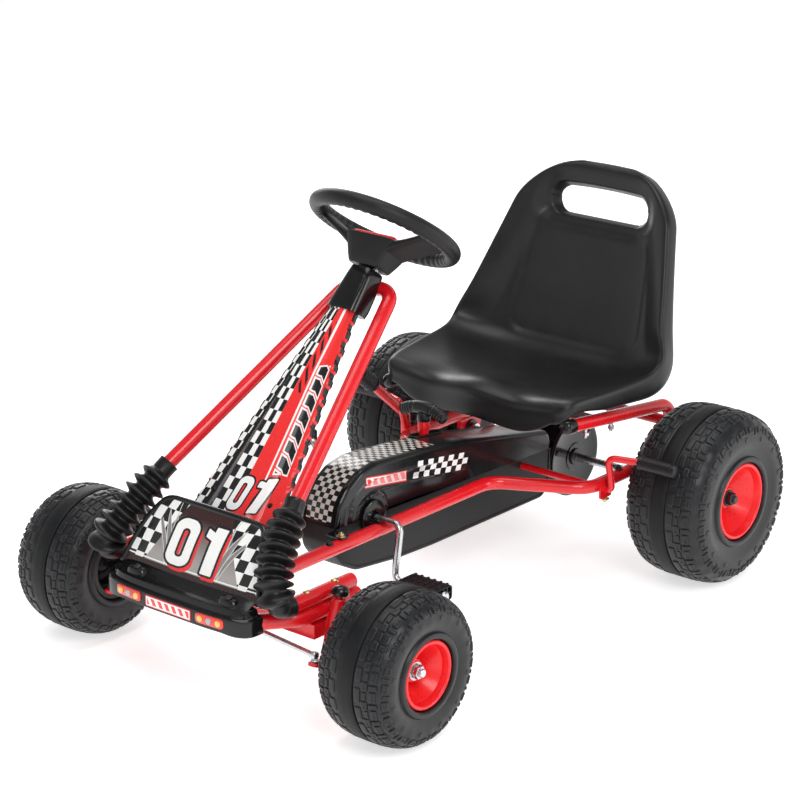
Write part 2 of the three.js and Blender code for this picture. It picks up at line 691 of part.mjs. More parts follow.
// Belt-shaped outline round the two sprockets, standing off their teeth by a distance.
function chainOutline(standoff) {
  const dy = REAR_AXLE_Y - CRANK_Y;
  const dz = REAR_WHEEL.tyreR - CRANK_Z;
  const slope = (Math.atan2(dz, dy) * 180) / Math.PI;
  const wrap = (Math.acos((SPROCKET_R.front - SPROCKET_R.rear) / Math.hypot(dy, dz)) * 180) / Math.PI;
  const frontR = SPROCKET_R.front + standoff;
  const rearR = SPROCKET_R.rear + standoff;
  return [
    ...arcPoints(CRANK_Y, CRANK_Z, frontR, slope + wrap, slope + 360 - wrap, 14),
    ...arcPoints(REAR_AXLE_Y, REAR_WHEEL.tyreR, rearR, slope - wrap, slope + wrap, 10),
  ];
}
function chain() {
  const half = CHAIN_WIDTH / 2;
  const outer = sidePlate(chainOutline(1.5 + CHAIN_HEIGHT), -half, half);
  return cut(outer, sidePlate(chainOutline(1.5), -half - 1, half + 1));
}
addPart("chain", chain(), DARK_STEEL);

// ---------- chain case ----------
const REAR_DISC_R = 61;
const REAR_DISC_HALF = 30;
const CASE_TOP = [
  [292, 158],
  [286, 186],
  [95, 222],
  [-8, 235],
  [-58, 239.5],
  [-110, 243.5],
  [-143, 238],
  [-170, 222],
  [-187, 202],
  [-194, 172],
];
const CASE_BOTTOM = [
  [-193, 171],
  [-195, 148],
  [-190, 131],
  [-175, 112],
  [-148, 98],
  [-57, 88],
  [17, 85],
  [276, 84],
  [291, 106],
  [292, 157],
];
function caseHoles() {
  return [
    straightTube(V(-DRILL, CRANK_Y, CRANK_Z), V(DRILL, CRANK_Y, CRANK_Z), CRANK_ROD_R + 3 * SLIP),
    straightTube(V(-DRILL, BRAKE_Y, BRAKE_Z), V(DRILL, BRAKE_Y, BRAKE_Z), BRAKE_R + SLIP, 10),
  ];
}
function caseUpper() {
  const cavity = inset(CASE_TOP, CASE_WALL);
  cavity[0] = [315, 100];
  cavity[cavity.length - 1] = [-191, 100];
  const insideHalf = CASE_HALF - CASE_WALL;
  const hollow = sidePlate([cavity[0], [315, 175], ...cavity.slice(1)], -insideHalf, insideHalf);
  const slot = box(13, 60, 80, V(SELECTOR.x, SELECTOR.y + 6, 240));
  return cut(sidePlate(CASE_TOP, -CASE_HALF, CASE_HALF), hollow, slot, ...caseHoles());
}
function caseLower() {
  const cavity = inset(CASE_BOTTOM, CASE_WALL);
  cavity[0] = [-190, 230];
  cavity[cavity.length - 2] = [320, 92];
  cavity[cavity.length - 1] = [320, 230];
  const hollow = sidePlate(cavity, -CASE_HALF + 1 + CASE_WALL, CASE_HALF - 1 - CASE_WALL);
  return cut(sidePlate(CASE_BOTTOM, 1 - CASE_HALF, CASE_HALF - 1), hollow, ...caseHoles());
}
addPart("case_upper_cover", caseUpper(), BLACK_GLOSS);
addPart("case_lower_housing", caseLower(), BLACK_MATTE);

function caseRearCover() {
  const centre = V(0, REAR_AXLE_Y, REAR_WHEEL.tyreR);
  const hole = REAR_WHEEL.axleR + SLIP;
  const outside = REAR_DISC_HALF;
  const inside = REAR_DISC_HALF - CASE_WALL;
  const drum = turned(
    [
      [hole, -outside],
      [REAR_DISC_R, -outside],
      [REAR_DISC_R, outside],
      [hole, outside],
      [hole, inside],
      [REAR_DISC_R - CASE_WALL, inside],
      [REAR_DISC_R - CASE_WALL, -inside],
      [hole, -inside],
      [hole, -outside],
    ],
    28,
  );
  const front = REAR_AXLE_Y - REAR_DISC_R;
  const mouth = box(80, 60, 200, V(0, front - 30 + 1.2, REAR_WHEEL.tyreR));
  const chainWay = box(53.8, 60, 200, V(0, front - 30 + 24, REAR_WHEEL.tyreR));
  return cut(aimed(drum, V(1, 0, 0), centre), mouth, chainWay);
}
addPart("case_rear_cover", caseRearCover(), BLACK_MATTE);

// ---------- hand brake ----------
const gripX = -BRAKE_ARM_X - 6;
const LEVER_R = 8;
function brakeLever() {
  const arm = (side) => {
    const corners = [
      V(0, BRAKE_Y, BRAKE_Z),
      V(BRAKE_ARM_X, BRAKE_Y, BRAKE_Z),
      V(BRAKE_ARM_X, 209, SLEEVE_Z + 3),
      V(SLEEVE_X[0] - 8, SLEEVE_Y, SLEEVE_Z),
      V(SLEEVE_X[1] + 4, SLEEVE_Y, SLEEVE_Z),
    ];
    return bentTube(side > 0 ? corners : mirrored(corners), BRAKE_R, 9, 8, 2);
  };
  const route = [V(-BRAKE_ARM_X, BRAKE_Y, BRAKE_Z), V(gripX, 228, 176), V(gripX, 112, 274)];
  return join(arm(1), arm(-1), bentTube(route, LEVER_R, 10, 8, 2));
}
addPart("brake_lever", brakeLever(), RED);
function sleeve(from, to, outerR, innerR, sides) {
  const past = to.clone().sub(from).multiplyScalar(0.02);
  const bore = straightTube(from.clone().sub(past), to.clone().add(past), innerR, sides);
  return cut(straightTube(from, to, outerR, sides), bore);
}
for (const [name, side] of SIDES) {
  const from = V(side * SLEEVE_X[0], SLEEVE_Y, SLEEVE_Z);
  const to = V(side * SLEEVE_X[1], SLEEVE_Y, SLEEVE_Z);
  addPart(`${name}_brake_sleeve`, sleeve(from, to, 10, BRAKE_R + GAP, 12), RUBBER);
}
const grip = sleeve(V(gripX, 150, 241.9), V(gripX, 116, 270.6), 13, LEVER_R + 0.6, 12);
addPart("brake_grip", grip, RUBBER);

// ---------- drive selector ----------
const { x: selX, y: selY, pivotZ, topZ } = SELECTOR;
addPart("selector_stem", box(9, 12, topZ - pivotZ - 10, V(selX, selY, (topZ + pivotZ - 10) / 2)), RED);
const gripRoute = [
  V(selX - 38, selY, topZ - 5),
  V(selX - 20, selY, topZ + 2),
  V(selX, selY, topZ + 4.5),
  V(selX + 20, selY, topZ + 2),
  V(selX + 38, selY, topZ - 5),
];
const gripSocket = box(10, 13, 16, V(selX, selY, topZ - 11));
addPart("selector_grip", cut(smoothTube(gripRoute, 9, 10, 8), gripSocket), RUBBER);

// ---------- seat ----------
// Moulded shell: a centre profile from the front lip to the top of the back, widened and dished.
const SEAT_PROFILE = new THREE.CatmullRomCurve3(
  [
    V(0, 136, 272),
    V(0, 160, 287),
    V(0, 235, 280),
    V(0, 320, 274),
    V(0, 366, 288),
    V(0, 393, 345),
    V(0, 411, 405),
    V(0, 428, 465),
    V(0, 444, 520),
    V(0, 454, 550),
  ],
  false,
  "centripetal",
);
const SEAT_HALF_WIDTHS = [160, 168, 182, 190, 190, 175, 160, 144, 129, 84];
const SEAT_RIM_RISE = [8, 8, 20, 34, 50, 46, 36, 26, 16, 6];
const HAND_HOLE = { width: 160, height: 44, at: [436, 490], lean: -16 };
function tableValue(table, t) {
  const place = t * (table.length - 1);
  const low = Math.min(Math.floor(place), table.length - 2);
  return THREE.MathUtils.lerp(table[low], table[low + 1], place - low);
}
function seatPoint(u, t, depth) {
  const centre = SEAT_PROFILE.getPoint(t);
  const along = SEAT_PROFILE.getTangent(t);
  const inwards = V(0, -along.z, along.y);
  const rise = tableValue(SEAT_RIM_RISE, t) * Math.abs(u) ** 4;
  return centre.addScaledVector(inwards, rise - depth).setX(u * tableValue(SEAT_HALF_WIDTHS, t));
}
function seatShell() {
  const across = 10;
  const along = 18;
  const thickness = 7;
  const positions = [];
  const quad = (a, b, c, d) => positions.push(...[a, b, c, a, c, d].flatMap((p) => p.toArray()));
  const at = (i, j, depth) => seatPoint((2 * i) / across - 1, j / along, depth);
  for (let i = 0; i < across; i++) {
    for (let j = 0; j < along; j++) {
      quad(at(i, j, 0), at(i + 1, j, 0), at(i + 1, j + 1, 0), at(i, j + 1, 0));
      const under = [at(i, j, thickness), at(i, j + 1, thickness)];
      quad(...under, at(i + 1, j + 1, thickness), at(i + 1, j, thickness));
    }
    quad(at(i, 0, 0), at(i, 0, thickness), at(i + 1, 0, thickness), at(i + 1, 0, 0));
    quad(at(i, along, 0), at(i + 1, along, 0), at(i + 1, along, thickness), at(i, along, thickness));
  }
  for (let j = 0; j < along; j++) {
    quad(at(0, j, 0), at(0, j + 1, 0), at(0, j + 1, thickness), at(0, j, thickness));
    quad(at(across, j, 0), at(across, j, thickness), at(across, j + 1, thickness), at(across, j + 1, 0));
  }
  const shell = new THREE.BufferGeometry();
  shell.setAttribute("position", new THREE.Float32BufferAttribute(positions, 3));
  const handHole = box(HAND_HOLE.width, 90, HAND_HOLE.height, V(0, 0, 0));
  handHole.rotateX(radians(HAND_HOLE.lean)).translate(0, ...HAND_HOLE.at);
  return cut(shell, handHole);
}
addPart("seat", seatShell(), BLACK_MATTE);

export default kart;
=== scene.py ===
"""Pedal go kart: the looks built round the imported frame.

Lengths inside the builders are millimetres in the row frame (+Z up, front at -Y, driver's left at +X);
make() turns them into metres when it writes a mesh.
"""

import math

import bmesh
import bpy
import numpy as np
from mathutils import Matrix, Vector


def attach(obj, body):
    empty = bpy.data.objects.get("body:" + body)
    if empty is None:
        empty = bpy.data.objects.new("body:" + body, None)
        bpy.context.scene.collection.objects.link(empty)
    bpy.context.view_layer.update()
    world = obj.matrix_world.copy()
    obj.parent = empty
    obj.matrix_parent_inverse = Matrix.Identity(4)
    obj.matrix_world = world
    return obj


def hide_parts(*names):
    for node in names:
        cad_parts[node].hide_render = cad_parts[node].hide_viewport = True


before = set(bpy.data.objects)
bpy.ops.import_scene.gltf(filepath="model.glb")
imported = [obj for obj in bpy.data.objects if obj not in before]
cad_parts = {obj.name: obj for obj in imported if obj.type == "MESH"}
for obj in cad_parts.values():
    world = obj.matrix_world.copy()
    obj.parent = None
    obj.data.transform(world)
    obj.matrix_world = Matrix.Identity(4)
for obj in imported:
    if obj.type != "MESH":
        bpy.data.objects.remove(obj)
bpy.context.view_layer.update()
scene = bpy.context.scene
MM = 0.001

# ---------- camera, floor and light ----------
CAMERA = {"azimuth": 39.44, "elevation": 18.46, "roll": 0.49, "distance": 3.5535, "lens": 115.58}
CAMERA_TARGET = Vector((-0.01958, 0.00153, 0.29324))


def add_camera():
    a, e, r = (math.radians(CAMERA[k]) for k in ("azimuth", "elevation", "roll"))
    back = Vector((math.sin(a) * math.cos(e), -math.cos(a) * math.cos(e), math.sin(e)))
    level = Vector((math.cos(a), math.sin(a), 0))
    upright = back.cross(level)
    right = level * math.cos(r) + upright * math.sin(r)
    up = upright * math.cos(r) - level * math.sin(r)
    camera = bpy.data.objects.new("camera", bpy.data.cameras.new("camera"))
    camera.data.lens = CAMERA["lens"]
    camera.data.sensor_width = 36
    turn = Matrix((right, up, back)).transposed().to_4x4()
    camera.matrix_world = Matrix.Translation(CAMERA_TARGET + back * CAMERA["distance"]) @ turn
    scene.collection.objects.link(camera)
    scene.camera = camera


def area_light(name, place, target, size, power):
    light = bpy.data.objects.new(name, bpy.data.lights.new(name, "AREA"))
    light.data.shape = "RECTANGLE"
    light.data.size, light.data.size_y = size
    light.data.energy = power
    light.location = place
    light.rotation_euler = (Vector(target) - Vector(place)).to_track_quat("-Z", "Y").to_euler()
    scene.collection.objects.link(light)


def add_studio():
    world = bpy.data.worlds.new("studio")
    world.use_nodes = True
    tree = world.node_tree
    background = tree.nodes["Background"]
    background.inputs["Color"].default_value = (1, 1, 1, 1)
    split = tree.nodes.new("ShaderNodeSeparateXYZ")
    tree.links.new(tree.nodes.new("ShaderNodeTexCoord").outputs["Generated"], split.inputs[0])
    strength = Value(tree, split.outputs[2]).ramp(0.05, 0.6) * -0.75 + 1.05  # bright horizon, dimmer overhead
    tree.links.new(strength.socket, background.inputs["Strength"])
    scene.world = world
    scene.view_settings.view_transform = "Standard"
    middle = (0, 0, 0.25)
    area_light("key_light", (2.2, -1.6, 2.6), middle, (1.6, 1.6), 50)
    area_light("top_light", (-0.2, 0.1, 2.9), middle, (2.4, 1.6), 34)
    area_light("rim_light", (-2.4, 1.6, 1.6), middle, (1.2, 1.8), 26)
    area_light("side_light", (2.8, 1.4, 1.0), middle, (0.8, 1.6), 16)


# ---------- shader arithmetic ----------
class Value:
    """A shader value that takes ordinary arithmetic, so that a printed pattern reads as a formula."""

    def __init__(self, tree, socket):
        self.tree, self.socket = tree, socket

    def apply(self, operation, *others):
        node = self.tree.nodes.new("ShaderNodeMath")
        node.operation = operation
        for slot, item in enumerate((self, *others)):
            if isinstance(item, Value):
                self.tree.links.new(item.socket, node.inputs[slot])
            else:
                node.inputs[slot].default_value = item
        return Value(self.tree, node.outputs[0])

    def __add__(self, other):
        return self.apply("ADD", other)

    def __sub__(self, other):
        return self.apply("SUBTRACT", other)

    def __mul__(self, other):
        return self.apply("MULTIPLY", other)

    def __truediv__(self, other):
        return self.apply("DIVIDE", other)

    def __abs__(self):
        return self.apply("ABSOLUTE")

    def least(self, other):
        return self.apply("MINIMUM", other)

    def most(self, other):
        return self.apply("MAXIMUM", other)

    def negative(self):
        return self.apply("MULTIPLY", -1.0)

    def ramp(self, low, high):
        """0 below low, 1 above high, straight between."""
        node = self.tree.nodes.new("ShaderNodeMapRange")
        self.tree.links.new(self.socket, node.inputs["Value"])
        node.inputs["From Min"].default_value = low
        node.inputs["From Max"].default_value = high
        return Value(self.tree, node.outputs["Result"])

    def inside(self, soft=0.25):
        """1 where a signed distance is below zero, with an edge that is soft over that many millimetres."""
        return (self * (-1.0 / soft) + 0.5).ramp(0, 1)


def rounded_box(u, v, half_u, half_v, radius):
    """Signed distance to a rectangle with round corners, centred on zero."""
    du = abs(u) - (half_u - radius)
    dv = abs(v) - (half_v - radius)
    outer_u, outer_v = du.most(0.0), dv.most(0.0)
    length = (outer_u * outer_u + outer_v * outer_v).apply("SQRT")
    return length + du.most(dv).least(0.0) - radius


def mixed(tree, factor, first, second):
    """A colour between two, which are colours or colour sockets."""
    node = tree.nodes.new("ShaderNodeMix")
    node.data_type = "RGBA"
    tree.links.new(factor.socket, node.inputs[0])
    for socket, item in ((node.inputs[6], first), (node.inputs[7], second)):
        if isinstance(item, tuple):
            socket.default_value = (*item, 1)
        else:
            tree.links.new(item, socket)
    return node.outputs[2]


def place_values(tree):
    """The row frame's x, y and z at each point, in millimetres, and the coordinate's own socket."""
    place = tree.nodes.new("ShaderNodeTexCoord").outputs["Object"]
    split = tree.nodes.new("ShaderNodeSeparateXYZ")
    tree.links.new(place, split.inputs[0])
    return place, [Value(tree, split.outputs[i]) * 1000.0 for i in range(3)]


def noise(tree, place, scale, detail=3.0, stretch=None):
    """Noise from 0 to 1 with that many features a metre."""
    if stretch:
        mapping = tree.nodes.new("ShaderNodeMapping")
        mapping.inputs["Scale"].default_value = stretch
        tree.links.new(place, mapping.inputs["Vector"])
        place = mapping.outputs[0]
    node = tree.nodes.new("ShaderNodeTexNoise")
    node.inputs["Scale"].default_value = scale
    node.inputs["Detail"].default_value = detail
    tree.links.new(place, node.inputs["Vector"])
    return Value(tree, node.outputs[0])


def finish_material(
    name,
    base,
    roughness,
    shade=0.12,
    rough_change=0.06,
    metallic=0.0,
    coat=0.0,
    specular=0.5,
    grain=(900, 0.05, 0.3),
    stretch=None,
    edge_light_and_wear=0.0,
    edge_light_and_wear_colour=(0.35, 0.34, 0.33),
    paint=None,
    relief=None,
):
    """A moulded, painted or metal surface: mottled colour, uneven gloss, a fine grain and lighter sharp
    edges, partly rubbed wear and partly a painted highlight.

    grain is features a metre, bump strength and bump depth in mm; paint(tree, xyz, colour) may print on the
    base colour; relief(tree, xyz) may give a 0-1 value that scales the grain."""
    material = bpy.data.materials.new(name)
    material.use_nodes = True
    tree = material.node_tree
    shader = tree.nodes["Principled BSDF"]
    place, xyz = place_values(tree)
    mottle = noise(tree, place, 38, 4)
    fine = noise(tree, place, 260, 3)
    dark = tuple(c * (1 - shade) for c in base)
    light = tuple(min(1.0, c * (1 + shade)) for c in base)
    colour = mixed(tree, (mottle * 0.7 + fine * 0.3).ramp(0.35, 0.65), dark, light)
    # Painted highlight and wear: where pointiness marks a sharp edge the colour is lightened, standing in for
    # the light a rounded edge catches as well as for rubbed wear.
    if edge_light_and_wear:
        edge = Value(tree, tree.nodes.new("ShaderNodeNewGeometry").outputs["Pointiness"])
        highlit_and_rubbed = edge.ramp(0.53, 0.62) * fine.ramp(0.35, 0.7) * edge_light_and_wear
        colour = mixed(tree, highlit_and_rubbed, colour, edge_light_and_wear_colour)
    if paint:
        colour = paint(tree, xyz, colour)
    tree.links.new(colour, shader.inputs["Base Color"])
    gloss = (mottle * 0.5 + fine * 0.5).ramp(0.3, 0.7) * (2 * rough_change) + (roughness - rough_change)
    tree.links.new(gloss.socket, shader.inputs["Roughness"])
    shader.inputs["Metallic"].default_value = metallic
    shader.inputs["Specular IOR Level"].default_value = specular
    shader.inputs["Coat Weight"].default_value = coat
    shader.inputs["Coat Roughness"].default_value = 0.08
    bump = tree.nodes.new("ShaderNodeBump")
    bump.inputs["Strength"].default_value = grain[1]
    bump.inputs["Distance"].default_value = grain[2] * MM
    height = noise(tree, place, grain[0], 2, stretch)
    if relief:
        height = height * relief(tree, xyz)
    tree.links.new(height.socket, bump.inputs["Height"])
    tree.links.new(bump.outputs[0], shader.inputs["Normal"])
    return material


# ---------- printed patterns ----------
WHITE = (0.86, 0.86, 0.84)
INK = (0.012, 0.012, 0.014)
PRINT_RED = (0.80, 0.03, 0.03)
GREY_BLADE = (0.22, 0.21, 0.20)


def print_face(tree, colour, printed):
    """The print is on the face that looks forward; the back of the moulding keeps its plain colour."""
    normal = tree.nodes.new("ShaderNodeTexCoord").outputs["Normal"]
    split = tree.nodes.new("ShaderNodeSeparateXYZ")
    tree.links.new(normal, split.inputs[0])
    return mixed(tree, Value(tree, split.outputs[1]).ramp(0.06, 0.0), colour, printed)


def numerals(u, v, height, wide):
    """Signed distance to the figures 0 and 1 side by side, leaning a little; u and v from their middle."""
    half = height / 2
    u = (u - v * 0.12) / wide
    ring_u = u + half * 0.66
    outer = rounded_box(ring_u, v, half * 0.52, half, half * 0.42)
    hole = rounded_box(ring_u, v, half * 0.17, half * 0.62, half * 0.16)
    nought = outer.most(hole.negative())
    stem = rounded_box(u - half * 0.72, v, half * 0.24, half, 1.0)
    flag_u = u - half * 0.45
    flag = rounded_box(flag_u, v - half * 0.62 + flag_u * 0.35, half * 0.26, half * 0.17, 1.0)
    return nought.least(stem).least(flag)


def print_numerals(tree, colour, u, v, height, rim, wide=1.0):
    shadow = numerals(u - rim * 1.9, v + rim * 1.7, height, wide)
    digits = numerals(u, v, height, wide)
    colour = mixed(tree, (shadow - rim * 0.6).inside(), colour, PRINT_RED)
    colour = mixed(tree, (digits - rim).inside(), colour, INK)
    return mixed(tree, digits.inside(), colour, WHITE)


def checks(u, v, size_u, size_v):
    return ((u / size_u + 100.0).apply("FLOOR") + (v / size_v + 100.0).apply("FLOOR")).apply("MODULO", 2.0)


def paint_nose(tree, xyz, colour):
    """Number panel: grey to maroon ground, squares at the sides, curved blades, figures and a foot line."""
    x, _, z = xyz
    plain = colour
    colour = mixed(tree, z.ramp(238, 186), (0.040, 0.016, 0.016), (0.36, 0.33, 0.32))
    edge = abs(x) - (z * -0.447 + 194.0)  # distance past the trimmed side of the panel
    ground = mixed(tree, checks(x - z * 0.2, z, 15.0, 14.0), INK, WHITE)
    colour = mixed(tree, (edge + 33.0 + (z - 175.0) * 0.16).ramp(-0.4, 0.4), colour, ground)
    for lean, start, thick in ((0.10, 38.0, 3.4), (0.62, 41.0, 4.2), (1.25, 46.0, 3.6)):
        rise = (z - 178.0) / 60.0
        middle = rise * rise * (26.0 * lean) + start + rise * 9.0
        blade = abs(abs(x) - middle) - (rise * -1.0 + 1.0).most(0.0) * rise.most(0.0) * (4.0 * thick)
        shown = blade.inside(0.6) * (edge + 20.0).inside(2.0)
        colour = mixed(tree, shown, colour, GREY_BLADE)
        colour = mixed(tree, (abs(blade) - 0.6).inside(0.6) * (edge + 20.0).inside(2.0), colour,
            (0.62, 0.61, 0.60))
    colour = mixed(tree, (abs(z - 178.5) - 0.8).inside(), colour, WHITE)
    colour = mixed(tree, (z - 176.5).inside(), colour, (0.03, 0.012, 0.012))
    colour = print_numerals(tree, colour, x, z - 208.0, 55.0, 2.6, 1.42)
    return print_face(tree, plain, colour)


def paint_column(tree, xyz, colour):
    """Column panel, from its far edge: small squares, a black band, a ladder of squares, red with bars."""
    x, _, z = xyz
    plain = colour
    width = (z - 465.0) * -0.228 + 20.0  # half-width of the panel at that height
    share = x / width
    rim_squares = mixed(tree, checks(share * 100.0, z, 13.0, 9.0), INK, WHITE)
    ladder = mixed(tree, checks(share * 100.0 + 40.0, z, 16.0, 12.5), INK, WHITE)
    colour = mixed(tree, share.ramp(-0.735, -0.745), colour, rim_squares)
    colour = mixed(tree, share.ramp(-0.405, -0.395), colour, ladder)
    colour = mixed(tree, share.ramp(0.075, 0.085), colour, PRINT_RED)
    colour = mixed(tree, (abs(x - width * 0.47) - 0.9).inside(), colour, WHITE)
    slash = ((z + x * 1.6).apply("MODULO", 14.0) - 6.0).most(abs(x - width * 0.29) - width * 0.12)
    colour = mixed(tree, slash.inside() * z.ramp(372, 373) * z.ramp(450, 449), colour, INK)
    bars = (abs(x - width * 0.7) - width * 0.13).most(abs((z + x * 0.7).apply("MODULO", 15.0) - 7.5) - 5.2)
    bars = bars.most(z - 400.0).most((z - 286.0).negative())
    colour = mixed(tree, (bars - 1.7).inside(), colour, WHITE)
    colour = mixed(tree, bars.inside(), colour, INK)
    colour = print_numerals(tree, colour, x - 20.0, z - 262.0, 36.0, 2.0, 1.2)
    return print_face(tree, plain, colour)


def paint_case(tree, xyz, colour):
    """Chain case: squares over the crown of its nose, and a bar and a flag of squares on each side."""
    x, y, z = xyz
    along = Value(tree, tree.nodes.new("ShaderNodeAttribute").outputs["Fac"])
    along.socket.node.attribute_name = "along"
    crown = checks(x, along, 7.3, 7.3) * (abs(x) - 21.9).inside() * along.ramp(5, 5.4) * along.ramp(258,
        257.6)
    colour = mixed(tree, crown, colour, (0.66, 0.63, 0.58))
    side = (abs(x) - 28.5).ramp(0, 1)
    level = z + y * 0.145
    flag_u, flag_v = y - 32.0 - (level - 205.0) * 0.35, level - 206.0
    flag = (abs(flag_u) - 57.0).most(abs(flag_v) - 12.5).inside()
    squares = checks(flag_u, flag_v + 12.5, 11.4, 8.35)
    colour = mixed(tree, flag * squares * side, colour, WHITE)
    bar_u, bar_v = y + 87.0, level - 200.5
    bar = rounded_box(bar_u, bar_v, 45.0, 8.5, 2.0)
    stripe = abs((bar_u + bar_v * 0.5 + 90.0).apply("MODULO", 15.0) - 7.5) - 4.6
    colour = mixed(tree, bar.inside() * side, colour, PRINT_RED)
    colour = mixed(tree, (bar + 1.6).inside() * side, colour, WHITE)
    return mixed(tree, (bar + 3.2).inside() * stripe.inside() * side, colour, PRINT_RED)


def paint_label(tree, xyz, colour):
    """Bumper bar: slanted red stripes on white inside a thin red frame."""
    x, _, z = xyz
    edge = rounded_box(x, z - 142.6, 39.5, 7.2, 1.5)
    stripe = abs((x + z * 0.5 + 200.0).apply("MODULO", 12.0) - 6.0) - 3.2
    colour = mixed(tree, (edge + 1.2).inside(), PRINT_RED, WHITE)
    return mixed(tree, stripe.inside() * (edge + 2.8).inside(), colour, PRINT_RED)


def seat_field(tree, xyz):
    """Grain is strong on the middle field of the backrest and slight elsewhere."""
    x, _, z = xyz
    field = rounded_box(x, z - 385.0, 98.0, 72.0, 26.0).inside(3.0)
    return field * 0.85 + 0.15


def serrated(tree, xyz):
    """A fine wavy grain over the whole strip."""
    return xyz[0].apply("MODULO", 2.0).ramp(0, 2) * 0.3 + 0.7


# Lighter colour for the sharp edges of black parts: partly a painted edge highlight, partly rubbed wear.
EDGE_HIGHLIGHT_AND_WEAR = (0.045, 0.045, 0.048)
LENS = {"shade": 0.12, "rough_change": 0.04, "coat": 0.6, "grain": (300, 0.06, 0.3)}
MATERIALS = {
    "red_paint": finish_material(
        "red_paint", (0.70, 0.007, 0.013), 0.25, 0.05, 0.04, coat=0.35, specular=0.4, grain=(350, 0.03, 0.1)
    ),
    "red_plastic": finish_material(
        "red_plastic", (0.80, 0.010, 0.014), 0.30, 0.05, 0.05, coat=0.15, specular=0.4, grain=(500, 0.04,
            0.2),
        edge_light_and_wear=0.15, edge_light_and_wear_colour=(0.85, 0.20, 0.18),
    ),
    "black_gloss": finish_material(
        "black_gloss", (0.006, 0.006, 0.007), 0.19, 0.2, 0.05, coat=0.12, specular=0.35, grain=(420, 0.04,
            0.3),
        edge_light_and_wear=0.25, edge_light_and_wear_colour=EDGE_HIGHLIGHT_AND_WEAR,
    ),
    "case_print": finish_material(
        "case_print", (0.006, 0.006, 0.007), 0.19, 0.2, 0.05, coat=0.12, specular=0.35, grain=(420, 0.04,
            0.3),
        paint=paint_case,
    ),
    "black_plastic": finish_material(
        "black_plastic", (0.009, 0.009, 0.010), 0.42, 0.2, 0.07, specular=0.28, grain=(2600, 0.30,
            0.25), edge_light_and_wear=0.35,
        edge_light_and_wear_colour=EDGE_HIGHLIGHT_AND_WEAR,
    ),
    "seat_plastic": finish_material(
        "seat_plastic", (0.0085, 0.0087, 0.0095), 0.36, 0.14, 0.06, specular=0.34, grain=(1500, 0.5,
            0.4), edge_light_and_wear=0.25,
        edge_light_and_wear_colour=EDGE_HIGHLIGHT_AND_WEAR, relief=seat_field,
    ),
    "tyre_rubber": finish_material(
        "tyre_rubber", (0.0105, 0.0110, 0.0125), 0.37, 0.25, 0.09, specular=0.36, grain=(1300, 0.2,
            0.4), edge_light_and_wear=0.35,
        edge_light_and_wear_colour=(0.05, 0.052, 0.058),
    ),
    "tread_strip": finish_material(
        "tread_strip", (0.0095, 0.0100, 0.0110), 0.50, 0.25, 0.08, specular=0.2, grain=(2200, 0.4, 0.4),
        relief=serrated,
    ),
    "black_rubber": finish_material(
        "black_rubber", (0.008, 0.008, 0.009), 0.36, 0.2, 0.08, specular=0.32, grain=(900, 0.1,
            0.3), edge_light_and_wear=0.3,
        edge_light_and_wear_colour=EDGE_HIGHLIGHT_AND_WEAR,
    ),
    "bright_steel": finish_material(
        "bright_steel", (0.58, 0.60, 0.62), 0.26, 0.12, 0.08, metallic=1.0, grain=(600, 0.06, 0.2),
        stretch=(1, 1, 0.1),
    ),
    "plated_screw": finish_material(
        "plated_screw", (0.62, 0.50, 0.28), 0.34, 0.15, 0.08, metallic=1.0, grain=(600, 0.06, 0.2),
    ),
    "dark_steel": finish_material(
        "dark_steel", (0.06, 0.062, 0.066), 0.40, 0.2, 0.1, metallic=0.9, grain=(700, 0.10, 0.2),
    ),
    "nose_print": finish_material(
        "nose_print", (0.009, 0.009, 0.010), 0.26, 0.1, 0.05, coat=0.2, specular=0.35, grain=(300, 0.03, 0.3),
        paint=paint_nose,
    ),
    "column_print": finish_material(
        "column_print", (0.009, 0.009, 0.010), 0.26, 0.1, 0.05, coat=0.15, specular=0.32, grain=(300, 0.04,
            0.3),
        paint=paint_column,
    ),
    "label_print": finish_material(
        "label_print", (0.8, 0.8, 0.78), 0.3, 0.05, 0.05, coat=0.3, grain=(300, 0.03, 0.2), paint=paint_label,
    ),
    "lens_red": finish_material("lens_red", (0.75, 0.03, 0.02), 0.18, **LENS),
    "lens_amber": finish_material("lens_amber", (0.95, 0.55, 0.10), 0.16, **LENS),
    "lens_clear": finish_material("lens_clear", (0.42, 0.42, 0.42), 0.14, **LENS),
    "floor": finish_material("floor", (0.90, 0.90, 0.90), 0.75, 0.01, 0.03, specular=0.2,
        grain=(60, 0.02, 0.2)),
}
FLOOR_GLOW = 0.60  # the pale sweep's own brightness, so that it reads as white
floor_shader = MATERIALS["floor"].node_tree.nodes["Principled BSDF"]
floor_shader.inputs["Emission Color"].default_value = (1, 1, 1, 1)
floor_shader.inputs["Emission Strength"].default_value = FLOOR_GLOW


# ---------- mesh building ----------
def vec(*numbers):
    return np.array(numbers, float)


def unit(v):
    return v / np.linalg.norm(v)


class Shape:
    """Points and faces being gathered for one piece; each face carries the number of its material."""

    def __init__(self):
        self.points, self.faces, self.marks, self.count = [], [], [], 0

    def add(self, points, faces, mark=0):
        points = np.asarray(points, float).reshape(-1, 3)
        self.points.append(points)
        self.faces += [[i + self.count for i in face] for face in faces]
        self.marks += [mark] * len(faces)
        self.count += len(points)
        return self

    def grid(self, points, wrap=False, caps=False, mark=0):
        """A sheet from rows of points; wrap joins the last column to the first, caps fills the end rows."""
        points = np.asarray(points, float)
        rows, cols = points.shape[:2]
        faces = []
        for r in range(rows - 1):
            for c in range(cols if wrap else cols - 1):
                d = (c + 1) % cols
                faces.append([r * cols + c, r * cols + d, (r + 1) * cols + d, (r + 1) * cols + c])
        if caps:
            faces.append(list(range(cols))[::-1])
            faces.append([(rows - 1) * cols + c for c in range(cols)])
        return self.add(points, faces, mark)


